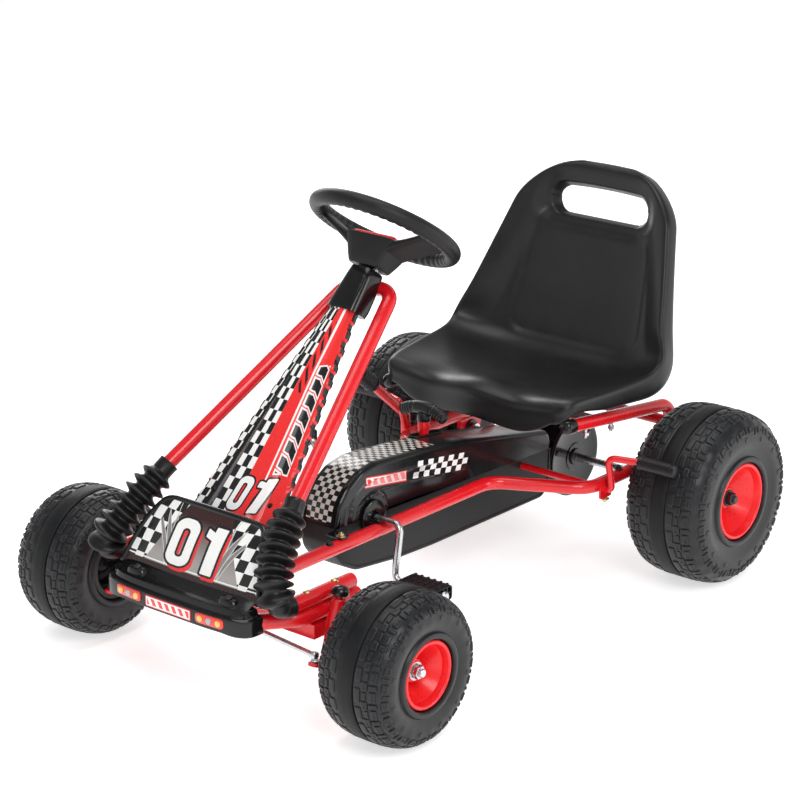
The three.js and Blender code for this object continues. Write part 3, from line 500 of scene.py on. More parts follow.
def basis(axis, hint=(0, 0, 1)):
    """Two unit vectors across an axis."""
    axis = unit(np.asarray(axis, float))
    hint = np.asarray(hint, float)
    if abs(axis @ unit(hint)) > 0.98:
        hint = vec(0, 1, 0) if abs(axis[1]) < 0.9 else vec(1, 0, 0)
    across = unit(np.cross(hint, axis))
    return across, np.cross(axis, across)


def lathe(shape, outline, centre, axis, segments=64, mark=0):
    """Turns an outline of (radius, distance along the axis) points round an axis through centre."""
    p, q = basis(axis)
    axis = unit(np.asarray(axis, float))
    angles = np.linspace(0, 2 * math.pi, segments, endpoint=False)
    rows = []
    for radius, along in outline:
        ring = np.outer(np.cos(angles), p) + np.outer(np.sin(angles), q)
        rows.append(centre + axis * along + ring * max(radius, 1e-4))
    return shape.grid(rows, wrap=True, mark=mark)


def bent(corners, bends, step=7.0):
    """A route through straight stretches joined by round bends."""
    corners = [np.asarray(c, float) for c in corners]
    if not isinstance(bends, (list, tuple)):
        bends = [bends] * (len(corners) - 2)
    route = [corners[0]]
    for before, corner, after, radius in zip(corners, corners[1:], corners[2:], bends):
        a, b = unit(before - corner), unit(after - corner)
        angle = math.acos(max(-1, min(1, a @ b)))
        turn = math.pi - angle
        if turn < 0.02:
            route.append(corner)
            continue
        reach = radius / math.tan(angle / 2)
        centre = corner + unit(a + b) * radius / math.sin(angle / 2)
        start, end = corner + a * reach - centre, corner + b * reach - centre
        steps = max(3, int(math.degrees(turn) / step))
        for i in range(steps + 1):
            t = i / steps
            arm = (start * math.sin((1 - t) * turn) + end * math.sin(t * turn)) / math.sin(turn)
            route.append(centre + arm)
    route.append(corners[-1])
    return np.array(route)


def soft_step(x, width):
    t = np.clip(x / width + 0.5, 0, 1)
    return t * t * (3 - 2 * t)


def hump(x, middle, width):
    """A bell of height 1 at middle."""
    return np.exp(-(((x - middle) / width) ** 2))


def smooth_route(points, count):
    """A Catmull-Rom curve through points."""
    points = np.asarray(points, float)
    padded = np.vstack([2 * points[0] - points[1], points, 2 * points[-1] - points[-2]])
    places = np.linspace(0, len(points) - 1, count)
    route = []
    for place in places:
        i = min(int(place), len(points) - 2)
        t = place - i
        a, b, c, d = padded[i : i + 4]
        route.append(
            0.5 * (2 * b + (c - a) * t + (2 * a - 5 * b + 4 * c - d) * t**2 + (3 * b - a - 3 * c + d) * t**3)
        )
    return np.array(route)


def even_route(points, count):
    """The same route with evenly spaced points."""
    points = np.asarray(points, float)
    lengths = np.concatenate([[0], np.cumsum(np.linalg.norm(np.diff(points, axis=0), axis=1))])
    at = np.linspace(0, lengths[-1], count)
    return np.stack([np.interp(at, lengths, points[:, k]) for k in range(points.shape[1])], axis=1)


def carried_frames(route):
    """Tangents and cross vectors carried along a route without twist."""
    tangents = np.gradient(route, axis=0)
    tangents /= np.linalg.norm(tangents, axis=1)[:, None]
    across, _ = basis(tangents[0])
    frames = []
    for tangent in tangents:
        across = unit(across - tangent * (across @ tangent))
        frames.append((tangent, across, np.cross(tangent, across)))
    return frames


def tube(shape, route, radius, sides=24, mark=0, round_end=0.8):
    """A round bar along a route; radius is one number or one for each point. Ends are rounded over."""
    route = np.asarray(route, float)
    radii = np.full(len(route), radius, float) if np.isscalar(radius) else np.asarray(radius, float)
    frames = carried_frames(route)
    first, last = route[0], route[-1]
    inner_first, inner_last = first + frames[0][0] * round_end, last - frames[-1][0] * round_end
    route = np.vstack([first, inner_first, route[1:-1], inner_last, last])
    radii = np.concatenate([[radii[0] - round_end, radii[0]], radii[1:-1],
        [radii[-1], radii[-1] - round_end]])
    frames = [frames[0], frames[0], *frames[1:-1], frames[-1], frames[-1]]
    turns = np.linspace(0, 2 * math.pi, sides, endpoint=False)
    rows = [
        place + r * (np.outer(np.cos(turns), across) + np.outer(np.sin(turns), up))
        for place, r, (_, across, up) in zip(route, radii, frames)
    ]
    return shape.grid(rows, wrap=True, caps=True, mark=mark)


def squircle(half_a, half_b, power, count):
    """Points round a superellipse."""
    angles = np.linspace(0, 2 * math.pi, count, endpoint=False)
    c, s = np.cos(angles), np.sin(angles)
    return np.stack(
        [half_a * np.sign(c) * np.abs(c) ** (2 / power),
            half_b * np.sign(s) * np.abs(s) ** (2 / power)], axis=1
    )


def loft(shape, sections, mark=0):
    """Skins rings of points with the same count."""
    return shape.grid(sections, wrap=True, caps=True, mark=mark)


def stack(shape, place, layers, power, count):
    """Skins superellipses of (level, half width, half depth); place(a, b, level) gives each point."""
    return loft(shape, [[place(a, b, level) for a, b in squircle(*half, power, count)] for level,
        *half in layers])


def plate(shape, outline, origin, u, v, depth, mark=0):
    """A flat plate: an outline in the u-v plane, with its thickness along u x v."""
    u, v = np.asarray(u, float), np.asarray(v, float)
    normal = unit(np.cross(u, v))
    base = np.array([origin + u * a + v * b for a, b in outline])
    return shape.grid([base, base + normal * depth], wrap=True, caps=True, mark=mark)


def rounded_outline(corners, radius, steps=5):
    """A closed outline with each corner rounded."""
    flat = [vec(*c, 0) for c in corners]
    count = len(flat)
    result = []
    for i, corner in enumerate(flat):
        before, after = flat[i - 1], flat[(i + 1) % count]
        reach = min(radius, np.linalg.norm(before - corner) / 2.1, np.linalg.norm(after - corner) / 2.1)
        a, b = corner + unit(before - corner) * reach, corner + unit(after - corner) * reach
        for k in range(steps + 1):
            t = k / steps
            point = a * (1 - t) ** 2 + corner * 2 * t * (1 - t) + b * t**2
            result.append((point[0], point[1]))
    return result


def hexagon(radius):
    return [(radius * math.cos(math.pi * k / 3), radius * math.sin(math.pi * k / 3)) for k in range(6)]


def bolt(shape, centre, axis, radius, height, mark=0):
    """A hexagon head with a chamfered top on a washer."""
    centre, axis = np.asarray(centre, float), unit(np.asarray(axis, float))
    p, q = basis(axis)
    lathe(shape, [(0, 0), (radius * 1.55, 0), (radius * 1.55, 1.2), (0, 1.2)], centre, axis, 24, mark)
    rings = []
    for scale, up in ((1, 1.2), (1, height), (0.86, height + 1.0)):
        rings.append([centre + axis * up + (p * a + q * b) * scale for a, b in hexagon(radius)])
    loft(shape, rings, mark)
    stud = [(0, height), (radius * 0.45, height), (radius * 0.4, height + 2.6), (0, height + 3)]
    lathe(shape, stud, centre, axis, 14, mark)


def smooth_normals(piece, angle):
    piece.data.shade_smooth()
    piece.data.set_sharp_from_angle(angle=math.radians(angle))


def soften_edges(piece, width, angle):
    modifier = piece.modifiers.new("edges", "BEVEL")
    modifier.width = width * MM
    modifier.segments = 2
    modifier.limit_method = "ANGLE"
    modifier.angle_limit = math.radians(angle)
    modifier.harden_normals = False


def make(name, shape, looks, body, angle=38, bevel=0.0, along=None):
    """Turns a shape into a piece that rides on a body and stands for the CAD node of its name, if any.

    looks are the materials that the shape's marks number."""
    looks = [looks] if isinstance(looks, str) else list(looks)
    mesh = bpy.data.meshes.new(name)
    points = np.vstack(shape.points) * MM
    mesh.from_pydata(points.tolist(), [], shape.faces)
    mesh.polygons.foreach_set("material_index", shape.marks)
    if along is not None:
        mesh.attributes.new("along", "FLOAT", "POINT").data.foreach_set("value", along)
    work = bmesh.new()
    work.from_mesh(mesh)
    bmesh.ops.remove_doubles(work, verts=work.verts, dist=2e-6)
    bmesh.ops.recalc_face_normals(work, faces=work.faces)
    work.to_mesh(mesh)
    work.free()
    piece = bpy.data.objects.new(name, mesh)
    scene.collection.objects.link(piece)
    for look in looks:
        mesh.materials.append(MATERIALS[look])
    smooth_normals(piece, angle)
    if bevel:
        soften_edges(piece, bevel, 35)
    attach(piece, body)
    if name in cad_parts:
        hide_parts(name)


def keep_node(name, look, bevel):
    """A CAD node that stays as it is: it gets a finished material and softened edges."""
    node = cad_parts[name]
    node.data.materials.clear()
    node.data.materials.append(MATERIALS[look])
    smooth_normals(node, 35)
    soften_edges(node, bevel, 40)


def mirrored(points):
    return [vec(-p[0], *p[1:]) for p in points]


SIDES = (("left", 1), ("right", -1))

# ---------- frame tubes ----------
TUBE_R = 11.0
RAIL_R = 9.5
SEAT_RAIL_R = 9.5
ARCH_R = 10.0
CRANK_Y, CRANK_Z = -116.0, 168.0
BRAKE_Y, BRAKE_Z = 222.0, 148.0
HOOP_Z, FOOT_Z = 142.5, 164.5
ARCH_NEAR = [(38, -84, 478), (117, -382, 262), (149, -441, 190), (151, -425, 166), (150, -298, FOOT_Z)]
HOOP_NEAR = [(104, -455, HOOP_Z), (150, -392, HOOP_Z), (150, -288, HOOP_Z)]
SEAT_RAIL = [(160, 146, 256), (160, 405, 226), (168, 405, 167)]


def end_plug(shape, place, axis, radius, mark):
    """A pressed-in cap with a slightly domed face."""
    outline = [(0, 2.6), (radius * 0.45, 2.3), (radius * 0.82, 1.2), (radius, -0.6), (radius, -2.2),
        (0, -2.2)]
    return lathe(shape, outline, place, axis, 28, mark)


def main_rail(name, side):
    corners = [(50, -444, 157), (50, 118, 157), (170, 192, 155), (170, 417, 155)]
    shape = Shape()
    route = bent([(side * x, y, z) for x, y, z in corners], 40, 4)
    long_first = np.linspace(route[0], route[1], 90)
    tube(shape, np.vstack([long_first, route[2:]]), RAIL_R, 28)
    end_plug(shape, route[-1], (0, 1, 0), RAIL_R - 0.4, 1)
    tube_points = shape.points[0]
    near = np.exp(-(((tube_points[:, 1] - CRANK_Y) / 11.0) ** 4))
    over = np.clip((tube_points[:, 2] - 157.0) / RAIL_R, 0, 1)
    tube_points[:, 2] -= near * over * 4.8  # the tube is pressed flat where the crank crosses it
    tube_points[:, 0] += near * (tube_points[:, 0] - side * 50) * 0.12
    for y in (-228.0, 264.0):
        bolt(shape, (side * (50 if y < 0 else 170), y, 157 + RAIL_R - 1.2), (0, 0, 1), 4.2, 3.2, mark=2)
    make(name, shape, ["red_paint", "black_plastic", "dark_steel"], "frame")


for side_name, side in SIDES:
    main_rail(f"{side_name}_main_rail", side)

hoop_corners = [*mirrored(HOOP_NEAR)[::-1], *HOOP_NEAR]
hoop = tube(Shape(), bent(hoop_corners, 44, 4), TUBE_R, 30)
arch_corners = [*mirrored(ARCH_NEAR)[::-1], *ARCH_NEAR]
arch = tube(Shape(), bent(arch_corners, [12, 12, 30, 26, 26, 30, 12, 12], 9), ARCH_R, 30)
for _, side in SIDES:
    end_plug(hoop, vec(side * 150, -288, HOOP_Z), (0, 1, 0), TUBE_R - 0.5, 1)
    end_plug(arch, vec(side * 150, -298, FOOT_Z), (0, 1, 0), ARCH_R - 0.5, 1)
    for y in (-385, -332):
        top = vec(side * 150.4, y, FOOT_Z + 0.4 + ARCH_R - 1.4)
        lathe(arch, [(0, 0), (5.2, 0), (5.0, 2.2), (3.4, 3.4), (0, 3.6)], top, (0, 0, 1), 20, 2)
make("front_hoop", hoop, ["red_paint", "black_plastic"], "frame")
make("steering_arch", arch, ["red_paint", "black_plastic", "plated_screw"], "frame")

for side_name, side in SIDES:
    rail = tube(Shape(), bent([(side * x, y, z) for x, y, z in SEAT_RAIL], 26, 5), SEAT_RAIL_R, 30)
    lathe(
        rail,
        [(0, 5), (6.5, 4), (9.7, 1), (10.7, -2), (10.7, -16), (9.8, -16), (9.8, -3), (0, -3)],
        vec(side * 160, 145, 256),
        (0, -1, 0.116),
        30,
        1,
    )
    for y, z in ((194, 234), (256, 228)):
        tube(rail, [(side * 160, y, z - 6), (side * 160, y, z + 10)], 2.6, 12, mark=2)
        lathe(rail, [(2.7, -3), (5, -3), (5, 1.2), (2.7, 1.2)], vec(side * 160, y, z + 1), (0, 0, 1), 6, 2)
    make(f"{side_name}_seat_rail", rail, ["red_paint", "black_gloss", "bright_steel"], "frame")

cross = Shape()
tube(cross, [(-152, 405, 198), (152, 405, 198)], 8, 24)
make("rear_cross_tube", cross, "red_paint", "frame")
for node in ("seat_cross_beam", "left_axle_plate", "right_axle_plate"):
    keep_node(node, "red_paint", 1.5)
keep_node("front_axle_beam", "red_paint", 1.2)
for node in ("left_axle_bearing", "right_axle_bearing", "front_sprocket", "rear_sprocket", "chain"):
    keep_node(node, "dark_steel", 0.5)

# ---------- wheels ----------
FRONT_WHEEL = {"x": 270.0, "y": -353.0, "r": 101.0, "width": 111.0, "lip": 45.0, "bore": 39.0, "power": 2.7}
REAR_WHEEL = {"x": 262.0, "y": 353.0, "r": 127.0, "width": 128.0, "lip": 56.0, "bore": 50.0, "power": 3.25}
RELIEF = 1.8  # tread blocks stand this far off the carcass


class Carcass:
    """A tyre's moulded surface: place(s, angle, lift) is a point s mm out from the crown's middle."""

    def __init__(self, spec, side):
        self.spec, self.side, self.x = spec, side, spec["x"]
        half = spec["width"] / 2
        side_r = spec["lip"] + 0.45 * (spec["r"] - spec["lip"])
        crown_r = spec["r"] - RELIEF
        angles = np.linspace(math.pi / 2, 0, 120)
        across = half * np.abs(np.cos(angles)) ** (2 / spec["power"])
        radius = side_r + (crown_r - side_r) * np.abs(np.sin(angles)) ** (2 / spec["power"])
        lip = spec["lip"]
        wall = [
            (half - 1.0, side_r - 6),
            (half - 2.6, side_r - 11),
            (half - 3.6, lip + 11.0),
            (half - 0.9, lip + 9.3),
            (half - 0.2, lip + 7.0),
            (half - 0.4, lip + 4.2),
            (half - 1.8, lip + 2.4),
            (half - 6.0, lip + 1.2),
            (half - 9.0, lip + 0.8),
        ]
        self.crown_count = len(across)
        self.across = np.concatenate([across, [w[0] for w in wall]])
        self.radius = np.concatenate([radius, [w[1] for w in wall]])
        steps = np.hypot(np.diff(self.across), np.diff(self.radius))
        self.s = np.concatenate([[0], np.cumsum(steps)])

    def place(self, s, angle, lift=0.0):
        """s is below zero on the half that faces the kart."""
        sign = -1.0 if s < 0 else 1.0
        s = abs(s)
        x, r = np.interp(s, self.s, self.across), np.interp(s, self.s, self.radius)
        ahead = min(s + 1.0, self.s[-1])
        behind = max(s - 1.0, 0.0)
        dx = np.interp(ahead, self.s, self.across) - np.interp(behind, self.s, self.across)
        dr = np.interp(ahead, self.s, self.radius) - np.interp(behind, self.s, self.radius)
        size = math.hypot(dx, dr) or 1.0
        x, r = x - dr / size * lift, r + dx / size * lift
        centre = vec(self.side * self.x, self.spec["y"], self.spec["r"])
        return centre + vec(self.side * sign * x, math.cos(angle) * r, math.sin(angle) * r)


def relief_block(shape, carcass, s, angle, ds, dangle, height=RELIEF, dish=0.0):
    """A low moulded block with rounded corners and sloping sides, or a frame if its middle is dished."""
    draft, ring = 0.9, squircle(1, 1, 8, 16)

    def loop(inset, lift):
        along = max(0.1, 1 - inset / ds)
        around = max(0.1, 1 - inset / (dangle * carcass.spec["r"]))
        return [carcass.place(s + a * ds * along, angle + b * dangle * around, lift) for a, b in ring]

    rows = [loop(-draft, -0.5), loop(0.0, height * 0.8), loop(0.6, height)]
    if dish:
        rows += [loop(2.2, height), loop(2.9, height - dish)]
    rows.append(loop(min(ds, dangle * carcass.spec["r"]) * 0.55, height - dish))
    shape.grid(rows, wrap=True)
    shape.add(rows[-1], [list(range(16))])


def tyre(name, body, spec, side, pitch_count):
    carcass = Carcass(spec, side)
    shape = Shape()
    strip = 12.0
    fractions = [0, 1.5, 3, 5, 8, 12, 16, 20, 25, 30, 36, 42, 48]
    outer = [strip + 2.4 + f for f in fractions if strip + 2.4 + f < carcass.s[carcass.crown_count - 30]]
    rest = list(np.linspace(outer[-1] + 4, carcass.s[carcass.crown_count - 1], 12))
    wall = list(carcass.s[carcass.crown_count :])
    groove = [(strip + 0.3, -1.9), (strip + 1.0, -2.3), (strip + 1.9, -1.9)]
    plain = [(s, 0.0) for s in outer + rest + wall]
    count = pitch_count * 8
    angles = np.linspace(0, 2 * math.pi, count, endpoint=False)
    half_section = []
    for sign in (-1, 1):
        rows = []
        depth = 1.0 if sign * side > 0 else 0.1  # only one edge of the centre strip has a groove beside it
        for s, lift in [(s, lift * depth) for s, lift in groove] + plain:
            scallop = 0.5 * math.exp(-(((s - 52) / 16) ** 2))
            rows.append([carcass.place(sign * s, a,
                lift + scallop * math.cos(pitch_count * a)) for a in angles])
        half_section.append(rows)
    back, front = half_section
    inner = []
    for sign in (-1, 1):
        x = sign * (spec["width"] / 2 - 9)
        centre = vec(side * (spec["x"] + x), spec["y"], spec["r"])
        inner.append([centre + vec(0, math.cos(a), math.sin(a)) * spec["bore"] for a in angles])
    rows = [inner[0], *back[::-1], *front, inner[1], inner[0]]
    shape.grid(rows, wrap=True)
    pitch = 2 * math.pi / pitch_count
    big = spec["width"] / 120.0
    reach = carcass.s[carcass.crown_count - 1]
    for sign in (-1, 1):
        for k in range(pitch_count):
            a = k * pitch
            odd = k % 2
            blocks = (  # from, out by, turned by, half width, half length, dish
                (strip, 8.5, 0.0, 4.4, 0.34, 0.0),
                (strip, 19, 0.5, 4.4, 0.22, 0.8),
                (strip, 19 + 2 * odd, 0.0, 2.2, 0.20, 0.0),
                (strip, 31, 0.0, 4.2, 0.26, 0.8),
                (strip, 31, 0.5, 5.6, 0.10, 0.0),
                (reach, -17, 0.5, 4.6, 0.24, 0.8),
                (reach, -15 - 3 * odd, 0.0, 5.0, 0.09, 0.0),
            )
            for start, out, turned, wide, long, dish in blocks:
                s, turn = sign * (start + out * big), a + pitch * turned
                relief_block(shape, carcass, s, turn, wide * big, pitch * long, dish=dish)
            if odd:
                relief_block(shape, carcass, sign * (reach - 5 * big), a, 3.0 * big, pitch * 0.16, 1.0)
    make(name, shape, "tyre_rubber", body, angle=32)
    band = Shape()
    teeth = pitch_count * 7
    band_angles = np.linspace(0, 2 * math.pi, teeth * 2, endpoint=False)
    rows = []
    edge = [(strip - 0.8, 1.1), (strip, 0.5), (strip, -1.2)]
    for s, lift in [(-s, lift) for s, lift in edge[::-1]] + [(-4, 1.3), (4, 1.3)] + edge:
        ridge = 0.28 if abs(s) < strip - 0.5 else 0.0
        rows.append([carcass.place(s, a, lift + (ridge if i % 2 else 0)) for i, a in enumerate(band_angles)])
    rows.append(rows[0])
    band.grid(rows, wrap=True)
    make(f"{name}_centre_strip", band, "tread_strip", body, angle=50)


def rim(name, body, spec, side, deep):
    """Moulded wheel: bright dished cover outside, dark barrel with stepped rings on the kart's side."""
    half, lip, bore = spec["width"] / 2, spec["lip"], spec["bore"]
    centre = vec(side * spec["x"], spec["y"], spec["r"])
    axis = (side, 0, 0)
    cover = [(bore - 1, half - 9)]
    for k in range(9):
        angle = math.radians(-20 + 25 * k)
        cover.append((lip - 2.8 + 3.0 * math.cos(angle), half - 6.0 + 3.0 * math.sin(angle)))
    for k in range(13):
        t = k / 12
        cover.append((19 + (lip - 7 - 19) * (1 - t) ** 0.85, deep + (half - 9 - deep) * (1 - t) ** 1.9))
    cover += [(17.6, deep + 0.5), (16.6, deep + 3), (15.4, half - 28), (14.4, half - 26.4),
        (12.6, half - 26), (7, half - 26)]
    cover += [(7, deep - 4), (20, deep - 4), (lip - 9, half - 14), (bore - 1, half - 12),
        (bore - 1, half - 9)]
    shape = lathe(Shape(), cover, centre, axis, 72)
    barrel = [
        (bore - 0.6, half - 9),
        (bore - 0.6, 0),
        (bore - 0.6, -half + 9),
        (lip - 0.5, -half + 8.6),
        (lip + 0.2, -half + 7),
        (lip - 0.8, -half + 5.2),
        (bore - 2, -half + 6),
        (bore - 4, -half + 9),
        (bore - 5, -half + 22),
        (bore - 9, -half + 25),
        (bore - 12, -half + 38),
        (21, -half + 41),
        (16, -half + 39),
        (15, -24),
        (13, -21),
        (7, -20),
        (7, -10),
        (bore - 14, -6),
        (bore - 4, 0),
        (bore - 1.6, half - 26),
        (bore - 1.2, half - 14),
        (bore - 0.6, half - 9),
    ]
    lathe(shape, barrel, centre, axis, 64, 1)
    make(name, shape, ["red_plastic", "black_plastic"], body, angle=30)


def hub_nut(name, body, spec, side, look):
    centre = vec(side * (spec["x"] + spec["width"] / 2 - 25.6), spec["y"], spec["r"])
    shape = Shape()
    axis = (side, 0, 0)
    lathe(shape, [(6.4, 0), (12.2, 0), (12.6, 0.8), (12.2, 1.6), (6.4, 1.6)], centre, axis, 36)
    p, q = basis(axis)
    rings = []
    for radius, along in ((8.6, 1.6), (9.6, 2.4), (9.6, 8.4), (8.4, 9.4)):
        rings.append([centre + vec(side, 0, 0) * along + p * a + q * b for a, b in hexagon(radius)])
    loft(shape, rings)
    threads = [(5.9 if k % 2 else 5.2, 9 + 0.5 * k) for k in range(7)]
    lathe(shape, [(0, 8), *threads, (5.6, 12.4), (4.8, 13.4), (0, 13.6)], centre, axis, 28)
    make(name, shape, look, body, bevel=0.3)


for side_name, side in SIDES:
    body = f"front_{side_name}_wheel"
    tyre(f"front_{side_name}_tyre", body, FRONT_WHEEL, side, 24)
    rim(f"front_{side_name}_rim", body, FRONT_WHEEL, side, 9.0)
    hub_nut(f"front_{side_name}_hub_nut", f"{side_name}_knuckle_set", FRONT_WHEEL, side, "bright_steel")
    body = "rear_drive" if side > 0 else "rear_right_wheel"
    tyre(f"rear_{side_name}_tyre", body, REAR_WHEEL, side, 28)
    rim(f"rear_{side_name}_rim", body, REAR_WHEEL, side, 13.0)
    hub_nut(f"rear_{side_name}_hub_nut", "rear_drive", REAR_WHEEL, side, "dark_steel")

axle_half = REAR_WHEEL["x"] + REAR_WHEEL["width"] / 2 - 26
AXLE_AT = (REAR_WHEEL["y"], REAR_WHEEL["r"])
axle = tube(Shape(), [(-axle_half, *AXLE_AT), (axle_half, *AXLE_AT)], 6, 28)
for _, side in SIDES:
    lathe(axle, [(6, 0), (9.5, 0), (9.5, 7), (6, 7)], vec(side * 156, *AXLE_AT), (side, 0, 0), 28)
make("rear_axle", axle, "bright_steel", "rear_drive")

# ---------- front suspension ----------
KINGPIN_X, KINGPIN_Y, KINGPIN_Z = 173.0, -365.0, 101.0
CASTER = math.radians(15)
KINGPIN_UP = vec(0, math.sin(CASTER), math.cos(CASTER))
KINGPIN_AHEAD = vec(0, -math.cos(CASTER), math.sin(CASTER))
COLUMN_TILT = math.radians(35)
WHEEL_CENTRE = vec(0, -57, 553)
DOWN = vec(0, -math.sin(COLUMN_TILT), -math.cos(COLUMN_TILT))
FORWARD = vec(0, -math.cos(COLUMN_TILT), math.sin(COLUMN_TILT))


def on_kingpin(side, up, ahead=0.0, out=0.0):
    return vec(side * (KINGPIN_X + out), KINGPIN_Y, KINGPIN_Z) + KINGPIN_UP * up + KINGPIN_AHEAD * ahead


def on_column(down, ahead=0.0, x=0.0):
    return WHEEL_CENTRE + DOWN * down + FORWARD * ahead + vec(x, 0, 0)


for side_name, side in SIDES:
    housing = Shape()
    lathe(
        housing,
        [(5.6, 15), (9, 15), (10, 16), (10, 61), (9.2, 62), (5.6, 62), (5.6, 15)],
        on_kingpin(side, 0),
        KINGPIN_UP,
        36,
    )
    gusset = [(-9, 20), (9, 22), (9, 42), (-2, 48)]
    plate(housing, gusset, on_kingpin(side, 0, 8), vec(-side, 0, 0), KINGPIN_UP, 4)
    make(f"{side_name}_kingpin_housing", housing, "red_paint", "frame", bevel=0.5)
    cap = lathe(
        Shape(),
        [(0, 66.6), (10.4, 66.6), (11.6, 68), (11.8, 70.5), (11.0, 74), (8.8, 77.2), (5.0, 79.2), (0, 79.9)],
        on_kingpin(side, 0),
        KINGPIN_UP,
        36,
    )
    make(f"{side_name}_kingpin_cap", cap, "black_gloss", f"{side_name}_knuckle_set")
    knuckle = Shape()
    tube(knuckle, [on_kingpin(side, -6), on_kingpin(side, 66)], 5, 20)
    lathe(
        knuckle,
        [(0, -17), (10, -17), (11, -16), (11, 13.4), (10, 14.4), (0, 14.4)],
        on_kingpin(side, 0),
        KINGPIN_UP,
        36,
    )
    spindle_end = vec(side * (FRONT_WHEEL["x"] + FRONT_WHEEL["width"] / 2 - 25.4), FRONT_WHEEL["y"],
        FRONT_WHEEL["r"])
    tube(knuckle, [vec(side * KINGPIN_X, FRONT_WHEEL["y"], FRONT_WHEEL["r"]), spindle_end], 6, 24, mark=1)
    ahead = unit(vec(side * 0.2, -KINGPIN_UP[2], KINGPIN_UP[1]))
    across = unit(np.cross(KINGPIN_UP, ahead))
    arm = rounded_outline([(-9, -4), (9, -4), (8, 44), (-8, 44)], 8, 6)
    plate(knuckle, arm, on_kingpin(side, -17), across, ahead, 4)
    eye = on_kingpin(side, -8.4 - 5, 35, 7)
    bolt(knuckle, eye, -KINGPIN_UP, 4.2, 3.4, mark=1)
    make(
        f"{side_name}_knuckle", knuckle, ["red_paint", "bright_steel"], f"{side_name}_knuckle_set",
        bevel=0.5,
    )
    outer, inner = on_kingpin(side, -8.4, 35, 7), on_column(555, 19, side * 10)
    rod = Shape()
    along = unit(inner - outer)
    bend_out, bend_in = outer + along * 14, inner - along * 14
    tube(rod, even_route([outer, bend_out, bend_in, inner], 24), 3.6, 18)
    for end in (outer + along * 4, inner - along * 4):
        lathe(rod, [(0, -4.2), (5.5, -4), (6.4, -2), (6.4, 2), (5.5, 4), (0, 4.2)], end, KINGPIN_UP, 20)
    make(f"{side_name}_tie_rod", rod, "bright_steel", f"{side_name}_tie_rod_set")

column = tube(Shape(), [on_column(37), on_column(568)], 8, 28)
pitman = rounded_outline([(-19, -15), (19, -15), (17, 29), (-17, 29)], 7, 5)
plate(column, pitman, on_column(561), vec(-1, 0, 0), FORWARD, 4)
make("steering_column", column, "dark_steel", "steering", bevel=0.4)


def boot(name, side):
    """Bellows over the arch's bend: a plain collar, eight pleats and a cuff that turns back at the foot."""
    points = [
        (110, -360, 279),
        (114, -371, 269),
        (120, -394, 250),
        (128, -414, 230),
        (137, -431, 209),
        (145, -439.5, 193),
        (149, -438, 178),
        (150.5, -429, 168.0),
        (151, -415, 165.8),
    ]
    count = 190
    route = even_route(smooth_route([(side * x, y, z) for x, y, z in points], 240), count)
    length = np.linalg.norm(np.diff(route, axis=0), axis=1).sum()
    s = np.linspace(0, length, count)
    collar, pleats, cuff = 18.0, 8, 15.0
    bellows = length - collar - cuff - 12.0
    radii = []
    for here in s:
        if here < collar:
            radius = 13.6 + 0.6 * math.exp(-(((here - 1) / 1.5) ** 2))
        elif here < collar + bellows:
            phase = (here - collar) / bellows * pleats
            wave = (0.5 - 0.5 * math.cos(2 * math.pi * phase)) ** 1.25
            swell = min(1.0, 0.84 + 0.08 * phase)
            radius = 15.0 + (25.6 * swell - 15.0) * wave
        elif here < length - cuff:
            t = (here - collar - bellows) / 12.0
            radius = 15.0 - 1.6 * t + 1.2 * math.sin(math.pi * t)
        else:
            radius = 13.4 + 0.6 * math.exp(-(((here - length + 1.5) / 1.5) ** 2))
        radii.append(radius)
    shape = tube(Shape(), route, radii, 44)
    make(name, shape, "black_rubber", "frame", angle=60)


for side_name, side in SIDES:
    boot(f"{side_name}_boot", side)


# ---------- steering wheel ----------
def steering_wheel():
    ring_r, tube_r, ridges = 97.0, 11.0, 48
    around, section = 288, 28
    rows = []
    for i in range(around + 1):
        phi = 2 * math.pi * i / around
        row = []
        for k in range(section):
            theta = 2 * math.pi * k / section
            out, down = math.cos(theta), math.sin(theta)
            under = max(0.0, 0.35 * down - 0.75 * out) ** 0.7
            r = tube_r - 1.5 * under * (0.5 + 0.5 * math.cos(ridges * phi)) ** 2
            reach = ring_r + r * out
            row.append(on_column(r * down * 1.04, reach * math.sin(phi), reach * math.cos(phi)))
        rows.append(row)
    shape = Shape().grid(rows, wrap=True)
    hub = (
        (20.0, 35, 23),
        (18.8, 40, 27),
        (19.6, 42.5, 28.6),
        (24.0, 41.5, 28.0),
        (36.0, 36, 24.6),
        (48.0, 30.5, 21.8),
        (57.0, 26, 19),
        (58.4, 24.5, 18),
    )
    stack(shape, lambda a, b, down: on_column(down, b, a), hub, 6, 56)
    for side in (-1, 1):
        sections = []
        for t in np.linspace(0, 1, 10):
            x = side * (26 + 68 * t)
            half_ahead = 23.5 + 4.5 * t**3
            top, bottom = 20.0 - 24.5 * t**1.5, 44.0 - 36.0 * t**0.8
            thick, mid = (bottom - top) / 2, (top + bottom) / 2
            sections.append([on_column(mid + b, a, x) for a, b in squircle(half_ahead, thick, 4, 40)])
        loft(shape, sections)
    for x, ahead in ((-13, 0), (13, 0)):
        lathe(shape, [(0, 57), (4.6, 57), (4.6, 61), (3.6, 62), (0, 62)], on_column(0, ahead, x), DOWN, 18, 1)
    make("steering_wheel", shape, ["black_plastic", "bright_steel"], "steering", angle=42)


steering_wheel()
badge_outline = rounded_outline([(-37, 17), (37, 17), (27, -18), (-27, -18)], 6, 6)
badge = Shape()
rings = []
for scale, down in ((1.0, 20.2), (1.0, 15.4), (0.98, 14.0), (0.92, 13.0), (0.6, 12.3), (0.2, 12.0)):
    rings.append([on_column(down, b * scale, a * scale) for a, b in badge_outline])
loft(badge, rings)
make("wheel_badge", badge, "red_plastic", "steering", angle=50)

